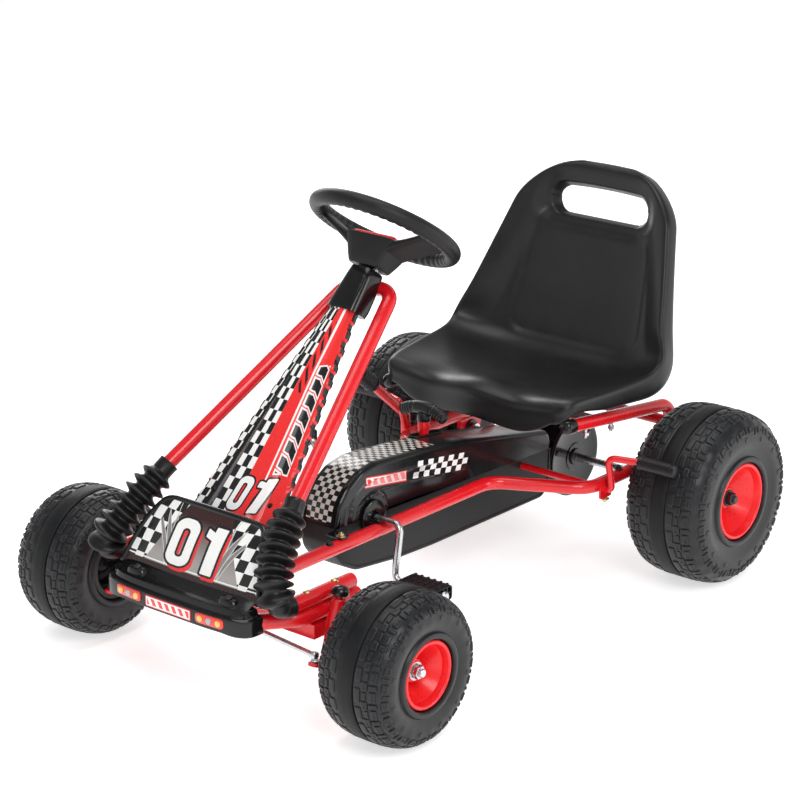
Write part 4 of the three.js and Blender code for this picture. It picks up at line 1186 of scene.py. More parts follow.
collar = Shape()
sections = []
for down, half_x, half_y, ahead in (
    (62.5, 15, 15, 0),
    (61.5, 17, 16.5, 0),
    (63, 18.5, 17.5, 0),
    (78, 20, 19, 1),
    (96, 21.5, 20, 3),
    (116, 23, 20.5, 6),
    (126, 23.5, 19, 8),
):
    sections.append([on_column(down, b + ahead, a) for a, b in squircle(half_x, half_y, 5, 48)])
loft(collar, sections)
make("column_collar", collar, "black_gloss", "frame", angle=40)

# ---------- panels and bumper ----------
PANEL_TOP = on_column(117, 14)
PANEL_BOTTOM = vec(0, -361, 226)
PANEL_HALF, PANEL_FLARE = 20.0, 54.5  # half width at the top, and how much is added down to the foot


def column_panel():
    """Fairing down the arch: flat side bands with a toothed edge, and a raised printed middle."""
    along = PANEL_BOTTOM - PANEL_TOP
    length = np.linalg.norm(along)
    along = unit(along)
    out = np.cross(vec(-1, 0, 0), along)
    rise = {  # height of the section at each share of its half width
        1.0: -5.0, 0.985: 2.5, 0.93: 4.2, 0.80: 4.4, 0.64: 4.6, 0.61: 6.4, 0.55: 9.0, 0.42: 13.2, 0.40: 15.2,
        0.2: 16.4, 0: 16.8,
    }
    rows, cols = 90, [-share for share in rise] + list(rise)[-2::-1]
    front, back = [], []
    for i in range(rows + 1):
        t = i / rows
        s = length * t
        half = PANEL_HALF + PANEL_FLARE * t
        tooth = 2.4 if math.sin(2 * math.pi * s / 24.0) > 0 else 0.0
        shrink = 0.55 + 0.45 * min(1.0, t * 3)
        front_row, back_row = [], []
        for c in cols:
            x = c * half - math.copysign(tooth * (abs(c) > 0.97) * (t > 0.06), c)
            lift = rise[abs(c)] * (shrink if abs(c) < 0.97 else 1.0)
            front_row.append(PANEL_TOP + along * s + vec(x, 0, 0) + out * lift)
            back_row.append(PANEL_TOP + along * s + vec(x * 0.985, 0, 0) + out * (lift - 2.6))
        front.append(front_row)
        back.append(back_row)
    shape = Shape()
    shape.grid([[*f, *b[::-1]] for f, b in zip(front, back)], wrap=True, caps=True)
    for t, c in ((0.52, -0.72), (0.90, -0.72), (0.52, 0.72), (0.90, 0.72)):
        place = PANEL_TOP + along * length * t + vec(c * (PANEL_HALF + PANEL_FLARE * t), 0, 0) + out * 4.2
        lathe(shape, [(0, 2.2), (2.6, 1.8), (4.0, 0.2), (4.2, -1), (0, -1)], place, out, 18, 1)
    make("column_panel", shape, ["column_print", "black_gloss"], "frame", angle=30)


column_panel()


NOSE_LENGTH, NOSE_CORNER = 91.0, 12.0


def nose_place(t):
    """The nose panel's middle line: top at t = 0, foot at t = 1."""
    return -391 - 49 * t, 247 - 76 * t + 10 * math.sin(math.pi * t)


def nose_panel():
    """Bowed number panel with a thick rolled rim along its top and sides."""
    rows, cols = 44, 48
    front, back = [], []
    for i in range(rows + 1):
        t = 1.06 * i / rows
        half = 83.5 + 34 * t
        down = t * NOSE_LENGTH
        if down < NOSE_CORNER:
            half -= NOSE_CORNER - math.sqrt(max(0.0, NOSE_CORNER**2 - (NOSE_CORNER - down) ** 2))
        y, z = nose_place(t)
        front_row, back_row = [], []
        for k in range(cols + 1):
            u = -1 + 2 * k / cols
            x = half * math.copysign(abs(u) ** 0.92, u)
            crown = 7.0 * (1 - u * u) * (1 - 0.45 * t)
            front_row.append(vec(x, y - crown * 0.72 + 1.5, z + crown * 0.5))
            back_row.append(front_row[-1] + vec(0, 2.2, -1.6))
        front.append(front_row)
        back.append(back_row)
    shape = Shape()
    shape.grid([[*f, *b[::-1]] for f, b in zip(front, back)], wrap=True, caps=True)
    edge = [row[0] for row in front[::-1]] + front[0][1:-1] + [row[-1] for row in front]
    edge = smooth_route(even_route(edge, 90), 170) + vec(0, 1.6, -1.0)
    tube(shape, edge, 4.4, 14, mark=1)
    tube(shape, edge + vec(0, 6.5, -4.5), 4.2, 12, mark=1)
    make("nose_panel", shape, ["nose_print", "black_gloss"], "frame", angle=45)


nose_panel()


BUMPER = {"half": 127.0, "back": -440.0, "deep": 39.0}


def bumper_line(angle, inset):
    """A point of the bumper's plan, a superellipse, moved inwards by inset."""
    c, s = math.cos(angle), math.sin(angle)
    x = (BUMPER["half"] - inset) * math.copysign(abs(c) ** 0.5, c)
    return x, BUMPER["back"] - (BUMPER["deep"] - inset * 0.92) * math.sqrt(max(0.0, s))


def bumper_front(x):
    """The y of the bumper's front face at that x."""
    share = min(0.999, abs(x) / BUMPER["half"])
    return BUMPER["back"] - BUMPER["deep"] * (1 - share**4) ** 0.25


def bumper():
    section = [
        (14, 116.2),
        (5, 114.2),
        (1.6, 116.0),
        (0.2, 121.0),
        (0, 128.0),
        (0, 148.0),
        (0.9, 151.5),
        (3.4, 153.4),
        (6.5, 153.6),
        (8.5, 154.4),
        (9.6, 157.5),
        (11.0, 160.6),
        (14.0, 161.6),
        (22.0, 162.6),
        (31.0, 164.6),
        (35.0, 166.4),
    ]
    count = 110
    angles = even_route([(a, *bumper_line(a, 0)) for a in np.linspace(0, math.pi, 1500)], 1500)[:, 0]
    outline = np.array([bumper_line(a, 0) for a in angles])
    lengths = np.concatenate([[0], np.cumsum(np.linalg.norm(np.diff(outline, axis=0), axis=1))])
    picks = np.interp(np.linspace(0, lengths[-1], count), lengths, angles)
    outer, inner = [], []

    def edge_point(angle, inset, z):
        x, y = bumper_line(angle, inset)
        raised = 1 - soft_step(abs(x) - 96.0, 26.0)  # the lower edge is higher between the two ends
        return vec(x, y, z + (0.85 + 0.15 * raised) * max(0.0, 131.5 + (z - 114.0) * 0.18 - z))

    for inset, z in section:
        outer.append([edge_point(a, inset, z) for a in picks])
        inner.append([edge_point(a, inset + 2.6, z - (1.8 if z > 150 else 0)) for a in picks])
    shape = Shape()
    shape.grid(outer + inner[::-1] + outer[:1])
    shelf = [(-460, 162.4), (-452, 165.0), (-446, 168.0), (-440, 171.0), (-436, 172.0)]
    ledge = []
    for x in np.linspace(-1, 1, 41):
        droop = 3.0 * abs(x) ** 8
        over = [vec(x * 113, y, z - droop) for y, z in shelf]
        ledge.append(over + [p - vec(0, 0, 2.2) for p in over[::-1]])
    shape.grid(ledge, wrap=True, caps=True)
    for _, side in SIDES:
        boss = vec(side * 80, -452, 164)
        ring = [vec(a, b, 0) for a, b in squircle(14, 8.5, 2.6, 32)]
        heights = ((1.15, -3), (1.0, 3.2), (0.86, 4.8), (0.4, 5.1))
        loft(shape, [[boss + r * k + vec(0, 0, h) for r in ring] for k, h in heights])
        lathe(shape, [(0, 2), (5.4, 2), (5.2, 6.4), (3.4, 7.8), (0, 8.0)], boss, (0, -0.1, 1), 20, 1)
    make("bumper", shape, ["black_gloss", "dark_steel"], "frame", angle=34)


bumper()


def front_strip(x_from, x_to, z_low, z_high, proud, radius):
    """A plate that follows the bumper's front face between two x."""
    middle, half_z = (z_low + z_high) / 2, (z_high - z_low) / 2
    centre_x, half_x = (x_from + x_to) / 2, abs(x_to - x_from) / 2
    rows = []
    for lift, shrink in ((-1.0, 0.0), (proud * 0.7, 0.0), (proud, 0.9)):
        row = []
        for a, b in rounded_outline(
            [(-half_x, -half_z), (half_x, -half_z), (half_x, half_z), (-half_x, half_z)], radius, 6
        ):
            a, b = a * (1 - shrink / half_x), b * (1 - shrink / half_z)
            row.append(vec(centre_x + a, bumper_front(centre_x + a) - lift, middle + b))
        rows.append(row)
    return loft(Shape(), rows)


for side_name, side in SIDES:
    shape = front_strip(side * 48, side * 93, 137.5, 150.5, 1.8, 5.5)
    for offset, mark in ((-14.5, 1), (0.0, 2), (14.5, 1)):
        x = side * 70.5 + offset
        lens = [(4.2, 0.4), (4.0, 2.6), (3.0, 3.4), (0, 3.8)]
        lathe(shape, lens, vec(x, bumper_front(x), 144), (0, -1, 0), 24, mark)
    make(f"{side_name}_light_strip", shape, ["lens_red", "lens_amber", "lens_clear"], "frame", angle=35)
label = front_strip(-39.5, 39.5, 135.4, 149.8, 0.9, 1.5)
make("bumper_label", label, "label_print", "frame", angle=35)

# ---------- drive ----------
CRANK_ARM, CRANK_ARM_X, CRANK_LEAN = 78.0, 80.0, math.radians(9)
PEDAL_FROM, PEDAL_TO = 97.0, 163.0


def crank_end(side):
    reach = side * CRANK_ARM
    return CRANK_Y - reach * math.sin(CRANK_LEAN), CRANK_Z - reach * math.cos(CRANK_LEAN)


near_end, far_end = crank_end(1), crank_end(-1)
crank_corners = [
    (-PEDAL_TO - 6, *far_end),
    (-CRANK_ARM_X, *far_end),
    (-CRANK_ARM_X, CRANK_Y, CRANK_Z),
    (CRANK_ARM_X, CRANK_Y, CRANK_Z),
    (CRANK_ARM_X, *near_end),
    (PEDAL_TO + 6, *near_end),
]
crank = tube(Shape(), bent(crank_corners, 12, 7), 5, 24)
for side in (1, -1):
    tip = vec(side * (PEDAL_TO + 4), *crank_end(side))
    lathe(crank, [(0, 3.4), (5.4, 3.0), (7.4, 1.0), (7.6, -0.6), (5.1, -0.6)], tip, (side, 0, 0), 24)
make("crank", crank, "bright_steel", "crank_set", angle=40)


def pedal(name, side, body):
    """Block with a rounded case, raised tread bars above and below and open cells at its outer end."""
    y, z = crank_end(side)
    middle = vec(side * (PEDAL_FROM + PEDAL_TO) / 2, y, z)
    half = (PEDAL_TO - PEDAL_FROM) / 2
    shape = Shape()
    layers = (
        (-half, 0.90), (-half + 1.2, 0.97), (-half + 3, 1), (half - 3, 1), (half - 1.2, 0.98), (half, 0.95),
        (half, 0.86), (half - 7, 0.84), (half - 7, 0.3),
    )
    sections = []
    for x, size in layers:
        sections.append([middle + vec(side * x, a * size, b * size) for a, b in squircle(22, 10.5, 7, 56)])
    loft(shape, sections)
    for sign in (1, -1):
        for k in range(6):
            x = -half + 6 + k * (2 * half - 12) / 5
            for y_from, y_to in ((-19, -7), (-4.5, 4.5), (7, 19)):
                shift = 1.8 if (k + (y_from < -5)) % 2 else -1.8
                corners = [(x - 2.1, y_from + shift * 0.4), (x + 2.1, y_from), (x + 2.1, y_to),
                    (x - 2.1, y_to)]
                bar = rounded_outline(corners, 1.2, 3)
                rings = [
                    [middle + vec(side * (x + (a - x) * k2), b, sign * (9.5 + h)) for a, b in bar]
                    for k2, h in ((1.0, 0.0), (1.0, 1.9), (0.75, 2.4))
                ]
                loft(shape, rings)
    cell = 22 * 0.84
    walls = [(-cell + k * 2 * cell / 5, 0.9, 9, 0.5) for k in range(1, 5)] + [(0, 18.4, 0.9, 0.8)]
    for at, wide, high, back in walls:
        wall = rounded_outline([(at - wide, -high), (at + wide, -high), (at + wide, high),
            (at - wide, high)], 0.4, 2)
        loft(shape, [[middle + vec(side * x, a, b) for a, b in wall] for x in (half - 8, half - back)])
    make(name, shape, "black_plastic", body, angle=40)


for side_name, side in SIDES:
    pedal(f"{side_name}_pedal", side, f"{side_name}_pedal_set")

# ---------- chain case ----------
CASE_TOP = [
    (292, 158),
    (286, 186),
    (95, 222),
    (-8, 235),
    (-58, 239.5),
    (-110, 243.5),
    (-143, 238),
    (-170, 222),
    (-187, 202),
    (-194, 172),
]
CASE_BOTTOM = [
    (-193, 171),
    (-195, 148),
    (-190, 131),
    (-175, 112),
    (-148, 98),
    (-57, 88),
    (17, 85),
    (276, 84),
    (291, 106),
    (292, 157),
]
CASE_HALF = 32.0
CROWN_DROP, CROWN_EDGE = 0.6, 0.5  # how far the crown falls to its sides, and where the shoulders start


def case_half(name, outline, bends, half_width, shoulder, looks, relief):
    """A shell whose section follows a side outline: a crown, round shoulders, sides down to the parting."""
    flat = bent([(0, *p) for p in outline], bends, 6)
    flat = even_route(flat, 170)
    start, span = flat[0], flat[-1] - flat[0]
    tangent = np.gradient(flat, axis=0)
    tangent /= np.linalg.norm(tangent, axis=1)[:, None]
    inward = np.stack([np.zeros(len(flat)), -tangent[:, 2], tangent[:, 1]], axis=1)
    nose = len(flat) // 2
    if ((start + span / 2 - flat[nose]) @ inward[nose]) < 0:
        inward = -inward
    lengths = np.concatenate([[0], np.cumsum(np.linalg.norm(np.diff(flat, axis=0), axis=1))])
    parting = start + span * np.clip((flat - start) @ span / (span @ span), 0, 1)[:, None]
    crown, half_rows = half_width - shoulder, []
    for x in (0, 6, 12, crown):
        half_rows.append(flat + inward * CROWN_DROP * (x / half_width) ** 2 + vec(x, 0, 0))
    for k in range(1, 8):
        angle = math.radians(90 * k / 7)
        drop, out = CROWN_EDGE + shoulder * (1 - math.cos(angle)), crown + shoulder * math.sin(angle)
        half_rows.append(flat + inward * drop + vec(out, 0, 0))
    edge = flat + inward * (shoulder + CROWN_EDGE)
    for k in range(1, 41):
        t = k / 40
        side_row = edge * (1 - t) + parting * t
        side_row[:, 0] = half_width + relief(side_row[:, 1], side_row[:, 2], edge)
        half_rows.append(side_row)
    rows = [row * vec(-1, 1, 1) for row in half_rows[:0:-1]] + half_rows
    shape = Shape().grid(np.stack(rows))
    along = np.tile(lengths[-1] - lengths, len(rows))
    make(name, shape, looks, "frame", angle=40, along=along)


def upper_relief(y, z, edge):
    """Ribs run parallel to the nose's edge, one behind the other, and end in a boss round the crank."""
    from_edge = np.min(np.hypot(y[:, None] - edge[None, :, 1], z[:, None] - edge[None, :, 2]), axis=1)
    fade = soft_step(20.0 - y, 60.0)
    first = -2.8 * soft_step(from_edge - 17.0, 3.0) + 1.6 * hump(from_edge, 14.0, 1.6)
    second = -2.4 * soft_step(from_edge - 36.0, 3.0) + 1.6 * hump(from_edge, 33.0, 1.6)
    boss = np.hypot(y - CRANK_Y, z - CRANK_Z)
    ring = 3.2 * soft_step(34.0 - boss, 3.0) + 1.4 * hump(boss, 31.0, 1.6)
    return (first + second) * fade + ring


def lower_relief(y, z, edge):
    """The lower side walls stand back evenly."""
    return np.full(len(y), -1.2)


TOP_BENDS = [16, 30, 60, 60, 50, 40, 40, 40]
BOTTOM_BENDS = [20, 24, 24, 30, 60, 60, 20, 14]
case_half("case_upper_cover", CASE_TOP, TOP_BENDS, CASE_HALF, 7.0, ["case_print"], upper_relief)
case_half("case_lower_housing", CASE_BOTTOM, BOTTOM_BENDS, CASE_HALF - 0.5, 5.0, ["black_plastic"],
    lower_relief)

fittings = Shape()
for _, side in SIDES:
    tab = rounded_outline([(-14, -8), (14, -8), (14, 9), (-14, 9)], 4, 4)
    top = vec(side * 42, -201, 166.8)
    plate(fittings, tab, top, vec(1, 0, 0), vec(0, 1, 0), 2.2)
    bolt(fittings, top + vec(side * 6, 0, 2.0), (0, 0, 1), 4.4, 3.4, mark=1)
    lathe(
        fittings,
        [(9, 30.4), (22, 30.8), (24, 31.4), (24, 34), (22, 35), (12, 35.4), (8.5, 34.6), (8.2, 30.4),
            (9, 30.4)],
        vec(0, CRANK_Y, CRANK_Z),
        (side, 0, 0),
        40,
    )
make("case_fittings", fittings, ["black_gloss", "plated_screw"], "frame", bevel=0.4)

rear_cover = Shape()
drum = [(7, -30.4), (20, -30.6), (22, -29.2), (52, -29.2), (55, -30.6), (58, -30.4), (60.6, -28.4), (61, -26)]
drum = drum + [(61, -2), (60.2, -1), (60.2, 1), (61, 2)] + [(r, -h) for r, h in drum[::-1]]
drum_centre = vec(0, *AXLE_AT)
lathe(rear_cover, drum, drum_centre, (1, 0, 0), 80)
for _, side in SIDES:
    lathe(rear_cover, [(6.4, 30), (12, 30.2), (12.6, 31), (12.2, 33.4), (6.4, 33.6)], drum_centre,
        (side, 0, 0), 28, 1)
    for angle in (40, 160, 280):
        place = drum_centre + vec(side * 29, 45 * math.cos(math.radians(angle)),
            45 * math.sin(math.radians(angle)))
        lathe(rear_cover, [(0, 2.6), (3.0, 2.2), (4.0, 0.8), (4.2, -1), (0, -1)], place, (side, 0, 0), 18, 1)
make("case_rear_cover", rear_cover, ["black_gloss", "dark_steel"], "frame", angle=34)

# ---------- hand brake ----------
BRAKE_ARM_X, BRAKE_TIP = 189.0, (229, 198)  # the sleeves turn round a line at this y and z
brake = Shape()
for _, side in SIDES:
    corners = [(0, BRAKE_Y, BRAKE_Z), (BRAKE_ARM_X, BRAKE_Y, BRAKE_Z), (BRAKE_ARM_X, 209, 201)]
    corners += [(230, *BRAKE_TIP), (286, *BRAKE_TIP)]
    tube(brake, bent([(side * x, y, z) for x, y, z in corners], 9, 8), 5, 20)
LEVER_X = -195.0
lever_corners = [(-BRAKE_ARM_X, BRAKE_Y, BRAKE_Z), (LEVER_X, 228, 176), (LEVER_X, 112, 274)]
tube(brake, bent(lever_corners, 10, 7), 7.6, 22)
make("brake_lever", brake, "red_paint", "hand_brake")
for side_name, side in SIDES:
    sleeve = Shape()
    outline = [(5.5, 230), (9.4, 230), (10.2, 231), (10.2, 234), (9.4, 236)]
    for k in range(12):
        outline += [(9.2, 238 + 4 * k), (9.8, 239 + 4 * k), (9.8, 240 + 4 * k), (9.2, 241 + 4 * k)]
    outline += [(9.6, 287), (8.6, 290), (5.0, 291.5), (0, 291.8)]
    lathe(sleeve, outline, vec(0, *BRAKE_TIP), (side, 0, 0), 32)
    make(f"{side_name}_brake_sleeve", sleeve, "black_rubber", "hand_brake")
grip_from, grip_to = vec(LEVER_X, 150, 241.9), vec(LEVER_X, 114.5, 271.8)
grip_length = np.linalg.norm(grip_to - grip_from)
outline = [(8.4, 0), (13.4, 0), (13.6, 1.6), (12.2, 3.2)]
for k in range(7):
    at = 5 + k * (grip_length - 14) / 7
    outline += [(11.4, at), (12.4, at + 1.4), (12.4, at + 3.0), (11.4, at + 4.2)]
outline += [(12.0, grip_length - 5), (11.0, grip_length - 1.5), (8, grip_length), (0, grip_length + 0.4)]
grip = lathe(Shape(), outline, grip_from, grip_to - grip_from, 32)
make("brake_grip", grip, "black_rubber", "hand_brake")

clamps = Shape()
for _, side in SIDES:
    strap = rounded_outline([(-14, -11), (14, -11), (14, 12), (-14, 12)], 5, 4)
    plate(clamps, strap, vec(side * 176, 222, 146), vec(0, 1, 0), vec(0, 0, 1), 3)
    bolt(clamps, vec(side * 177, 222, 134), (0, 0, -1), 4.2, 3.4, mark=1)
make("brake_clamps", clamps, ["red_paint", "plated_screw"], "frame", bevel=0.5)

# ---------- drive selector ----------
SELECTOR = {"x": -24.0, "y": 60.0, "top": 262.0}
stem_layers = (
    (178, 4, 5.5), (180, 4.6, 6.2), (225, 4.6, 6.4), (236, 6.2, 7.6), (248, 6.6, 8.0), (251.5, 5.4,
        6.6), (252, 3, 4),
)
stem = stack(Shape(), lambda a, b, z: vec(SELECTOR["x"] + a, SELECTOR["y"] + b, z), stem_layers, 5, 32)
make("selector_stem", stem, "red_plastic", "selector", angle=40)
grip_points = [(-38, -5), (-20, 2), (0, 4.5), (20, 2), (38, -5)]
grip_route = smooth_route([(SELECTOR["x"] + x, SELECTOR["y"], SELECTOR["top"] + z) for x, z in grip_points],
    80)
radii = []
for i in range(80):
    t = i / 79
    ribs = 0.7 * max(0.0, math.sin(2 * math.pi * t * 17)) * (abs(t - 0.5) > 0.2)
    radii.append(8.4 + ribs + 0.6 * (abs(t - 0.5) < 0.16))
handle = tube(Shape(), grip_route, radii, 28, round_end=1.4)
neck = vec(SELECTOR["x"], SELECTOR["y"], SELECTOR["top"] + 2)
lathe(handle, [(8.6, -17), (9.6, -16), (9.2, -6), (6, -2), (0, -2)], neck, (0, 0, 1), 28)
make("selector_grip", handle, "black_rubber", "selector", angle=50)
slot_frame = Shape()
outline = np.array(CASE_TOP[-2::-1])
rings = []
for half_x, half_y, lift in ((8.5, 33, -2.0), (8.5, 33, 1.6), (6.6, 31, 1.8), (6.6, 31, -2.0)):
    ring = [(SELECTOR["x"] + a, SELECTOR["y"] + 4 + b) for a, b in squircle(half_x, half_y, 6, 48)]
    rings.append([vec(a, b, np.interp(b, *outline.T) + lift) for a, b in ring])
slot_frame.grid([*rings, rings[0]], wrap=True)
slot_frame.add(rings[3], [list(range(48))])
make("selector_slot", slot_frame, "black_rubber", "frame", angle=40)

# ---------- seat ----------
SEAT_LINE = [
    (136, 272),
    (160, 287),
    (235, 280),
    (320, 274),
    (366, 288),
    (393, 345),
    (411, 405),
    (428, 465),
    (444, 520),
    (453, 547),
]
SEAT_HALF = [160, 168, 182, 190, 190, 175, 160, 144, 129, 118]
SEAT_RISE = [4, 6, 18, 32, 48, 46, 36, 26, 17, 8]
HAND_HOLE = {"half_x": 87.0, "half_s": 24.0, "radius": 22.0, "at": (436, 490)}
EDGE_ROUND, EDGE_DEPTH = 9.0, 20.0


def box_distance(u, v, half_u, half_v, radius):
    du, dv = np.abs(u) - half_u + radius, np.abs(v) - half_v + radius
    return np.hypot(np.maximum(du, 0), np.maximum(dv, 0)) + np.minimum(np.maximum(du, dv), 0) - radius


def hole_distance(u, v):
    """Signed distance to the edge of the hand hole, from its middle."""
    return box_distance(u, v, HAND_HOLE["half_x"], HAND_HOLE["half_s"], HAND_HOLE["radius"])


def running_mean(rows, width):
    padded = np.pad(rows, ((width // 2, width // 2), (0, 0)), mode="edge")
    return np.stack([np.convolve(column, np.ones(width) / width, "valid") for column in padded.T], axis=1)


def rounded(place):
    return tuple(round(c, 7) for c in place)


def seat():
    """Moulded bucket: a dished shell, a rolled edge, a hand hole, a grained field and a waved front lip."""
    count_s, count_u = 132, 72
    knots = smooth_route([(0, *p) for p in SEAT_LINE], 800)
    lengths = np.concatenate([[0], np.cumsum(np.linalg.norm(np.diff(knots, axis=0), axis=1))])
    total = lengths[-1]
    knot_s = np.interp(np.linspace(0, 799, len(SEAT_LINE)), np.arange(800), lengths)
    s_values = np.linspace(0, total, count_s)
    smooth_half = smooth_route([(s, w, 0) for s, w in zip(knot_s, SEAT_HALF)], 600)
    smooth_rise = smooth_route([(s, w, 0) for s, w in zip(knot_s, SEAT_RISE)], 600)
    line_y, line_z = (np.interp(s_values, lengths, knots[:, k]) for k in (1, 2))
    tangent = np.stack([np.zeros(count_s), np.gradient(line_y, s_values), np.gradient(line_z, s_values)],
        axis=1)
    tangent /= np.linalg.norm(tangent, axis=1)[:, None]
    inward = np.stack([np.zeros(count_s), -tangent[:, 2], tangent[:, 1]], axis=1)
    soft_inward = running_mean(running_mean(inward, 21),
        21)  # the side edges turn more gently than the middle
    soft_inward /= np.linalg.norm(soft_inward, axis=1)[:, None]
    half = np.interp(s_values, smooth_half[:, 0], smooth_half[:, 1])
    rise = np.interp(s_values, smooth_rise[:, 0], smooth_rise[:, 1])
    top_round, front_round = 74.0, 14.0
    over = np.clip(s_values - (total - top_round), 0, top_round)
    half = half - (top_round - np.sqrt(top_round**2 - over**2))
    under = np.clip(front_round - s_values, 0, front_round)
    half = half - (front_round - np.sqrt(front_round**2 - under**2))
    u = np.linspace(-1, 1, count_u + 1)
    u = np.sign(u) * (1 - (1 - np.abs(u)) ** 1.25)
    x = half[:, None] * u[None, :]
    s = np.repeat(s_values[:, None], count_u + 1, axis=1)
    border = np.vstack(
        [
            np.stack([-half, s_values], 1),
            np.stack([np.linspace(-half[-1], half[-1], 60), np.full(60, total)], 1),
            np.stack([half, s_values], 1)[::-1],
            np.stack([np.linspace(half[0], -half[0], 80), np.zeros(80)], 1),
        ]
    )
    ends = np.roll(border, -1, axis=0)
    flat = np.stack([x.ravel(), s.ravel()], 1)
    edge_distance = np.full(len(flat), 1e9)
    for a, b in zip(border, ends):
        d = b - a
        t = np.clip(((flat - a) @ d) / max(d @ d, 1e-9), 0, 1)
        edge_distance = np.minimum(edge_distance, np.hypot(*(flat - a - t[:, None] * d).T))
    edge_distance = edge_distance.reshape(x.shape)
    hole_index = np.argmin(np.hypot(line_y - HAND_HOLE["at"][0], line_z - HAND_HOLE["at"][1]))
    hole_s = s_values[hole_index] + 2
    hole = hole_distance(x, s - hole_s)
    side_rise = rise[:, None] * np.abs(x / np.maximum(half[:, None], 1)) ** 4
    back_share = soft_step(s - 270, 80)
    lift = 6.0 * np.sin(np.pi * np.clip(edge_distance / 46.0, 0, 1)) * back_share * (edge_distance < 46)
    pocket = np.clip(1 - hole / 26.0, 0, 1)
    lift -= 8.0 * pocket**2 * (3 - 2 * pocket)
    field_half = 100 + (hole_s - s) * 0.10
    field = box_distance(x, s - (hole_s - 120), field_half, 90, 34)
    lift -= 2.6 * soft_step(-field, 14.0)
    lift += hump(field, 0, 6.0)
    pommel = hump(x, 0, 38) * hump(s, 26, 46)
    hollows = hump(np.abs(x), 78, 34) * hump(s, 8, 46)
    lift += 5.5 * pommel - 6.5 * hollows
    lift -= 3.0 * hump(s, 118, 70) * hump(x, 0, 120)
    near_edge = np.clip(EDGE_ROUND - edge_distance, 0, EDGE_ROUND)
    lift -= EDGE_ROUND - np.sqrt(EDGE_ROUND**2 - near_edge**2)
    bulge = -6.0 * (1 - (x / 160.0) ** 2) * hump(s, 0, 20.0)
    points = np.stack([x, np.repeat(line_y[:, None], count_u + 1, 1),
        np.repeat(line_z[:, None], count_u + 1, 1)], 2)
    points = points + inward[:, None, :] * lift[:, :, None] + soft_inward[:, None, :] * side_rise[:, :, None]
    points[:, :, 1] += bulge
    arch_up = 5.0 * (1 - (x / 90.0) ** 2) * soft_step(s - total + 40, 60)
    points += tangent[:, None, :] * arch_up[:, :, None]
    keep = hole[:-1, :-1] + hole[1:, :-1] + hole[:-1, 1:] + hole[1:, 1:] >= 0
    mesh = bmesh.new()
    verts = [[mesh.verts.new(points[i, j] * MM) for j in range(count_u + 1)] for i in range(count_s)]
    for i in range(count_s - 1):
        for j in range(count_u):
            if keep[i, j]:
                mesh.faces.new((verts[i][j], verts[i + 1][j], verts[i + 1][j + 1], verts[i][j + 1]))
    place_of = {verts[i][j]: (i, j) for i in range(count_s) for j in range(count_u + 1)}
    hole_verts = set()
    for edge in mesh.edges:
        if edge.is_boundary:
            for v in edge.verts:
                i, j = place_of[v]
                if hole[i, j] < 14 and edge_distance[i, j] > 12:
                    hole_verts.add(v)
    grow = 0.5
    for v in hole_verts:
        i, j = place_of[v]
        here = np.array([x[i, j], s[i, j] - hole_s])
        for _ in range(3):
            d = hole_distance(*here)
            slope = np.array([hole_distance(here[0] + grow, here[1]),
                hole_distance(here[0], here[1] + grow)]) - d
            slope = slope / grow
            here = here - slope * d / max(slope @ slope, 1e-6)
        shift = here - np.array([x[i, j], s[i, j] - hole_s])
        v.co += Vector((shift[0], *(tangent[i, 1:] * shift[1]))) * MM
    mesh.verts.ensure_lookup_table()
    rim_edges = [e for e in mesh.edges if e.is_boundary]
    inner_edges = [e for e in rim_edges if e.verts[0] in hole_verts and e.verts[1] in hole_verts]
    outer_edges = [e for e in rim_edges if e not in inner_edges]
    for edges, steps in ((outer_edges, (5.0, EDGE_DEPTH)), (inner_edges, (3.0, 9.0, 16.0))):
        place_map, current, done = dict(place_of), edges, 0.0
        for depth in steps:
            result = bmesh.ops.extrude_edge_only(mesh, edges=current)
            new_verts = [g for g in result["geom"] if isinstance(g, bmesh.types.BMVert)]
            new_edges = [g for g in result["geom"] if isinstance(g, bmesh.types.BMEdge)]
            new_edges = [e for e in new_edges if all(v in new_verts for v in e.verts)]
            old = {rounded(v.co): place_map[v] for e in current for v in e.verts if v in place_map}
            for v in new_verts:
                i, j = place_map[v] = old[rounded(v.co)]
                front = 1 - soft_step(np.array(s[i, j] - 60.0), 80.0)
                middle_share = 1 - min(1.0, abs(x[i, j]) / 138.0) ** 6
                deep = depth - done
                if edges is outer_edges:
                    deeper = 1 + 0.75 * hump(s[i, j], 235.0, 95.0)
                    deep *= deeper * (1 - front) + front * (0.5 + 0.85 * middle_share)
                    direction = -soft_inward[i] * (1 - front) + vec(0, -0.10, -1.0) * front
                    v.co += Vector(direction * deep) * MM
                else:
                    narrow_x = -x[i, j] * 0.11 * deep / 16.0
                    narrow_s = -(s[i, j] - hole_s) * 0.22 * deep / 16.0
                    v.co += Vector(vec(narrow_x, 0, 0) + tangent[i] * narrow_s - inward[i] * deep) * MM
            current = new_edges
            done = depth
    bmesh.ops.recalc_face_normals(mesh, faces=mesh.faces)
    data = bpy.data.meshes.new("seat")
    mesh.to_mesh(data)
    mesh.free()
    piece = bpy.data.objects.new("seat_shell", data)
    scene.collection.objects.link(piece)
    data.materials.append(MATERIALS["seat_plastic"])
    smooth_normals(piece, 60)
    thick = piece.modifiers.new("wall", "SOLIDIFY")
    thick.thickness = 3.2 * MM
    thick.offset = -1
    surface = piece.modifiers.new("surface", "SUBSURF")
    surface.levels = surface.render_levels = 1
    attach(piece, "frame")
    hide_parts("seat")


seat()

fasteners = Shape()
for _, side in SIDES:
    for y, z in ((194, 277), (256, 275)):
        lathe(fasteners, [(0, 2.4), (4, 2), (7, 0.8), (7.4, -0.4), (0, -0.4)], vec(side * 132, y, z),
            (0, 0, 1), 24)
make("seat_screws", fasteners, "dark_steel", "frame")

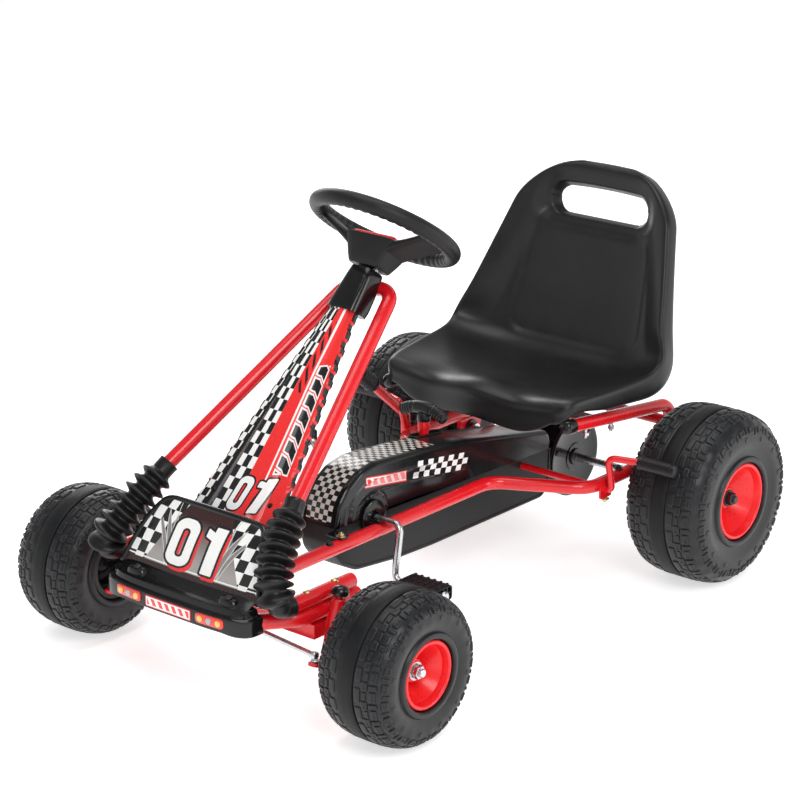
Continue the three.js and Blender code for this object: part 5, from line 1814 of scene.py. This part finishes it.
floor_mesh = bpy.data.meshes.new("floor")
FLOOR_REACH = 40.0
floor_corners = [(a * FLOOR_REACH, b * FLOOR_REACH, 0) for a, b in ((-1, -1), (1, -1), (1, 1), (-1, 1))]
floor_mesh.from_pydata(floor_corners, [], [(0, 1, 2, 3)])
floor = bpy.data.objects.new("floor", floor_mesh)
floor.data.materials.append(MATERIALS["floor"])
scene.collection.objects.link(floor)

add_camera()
add_studio()
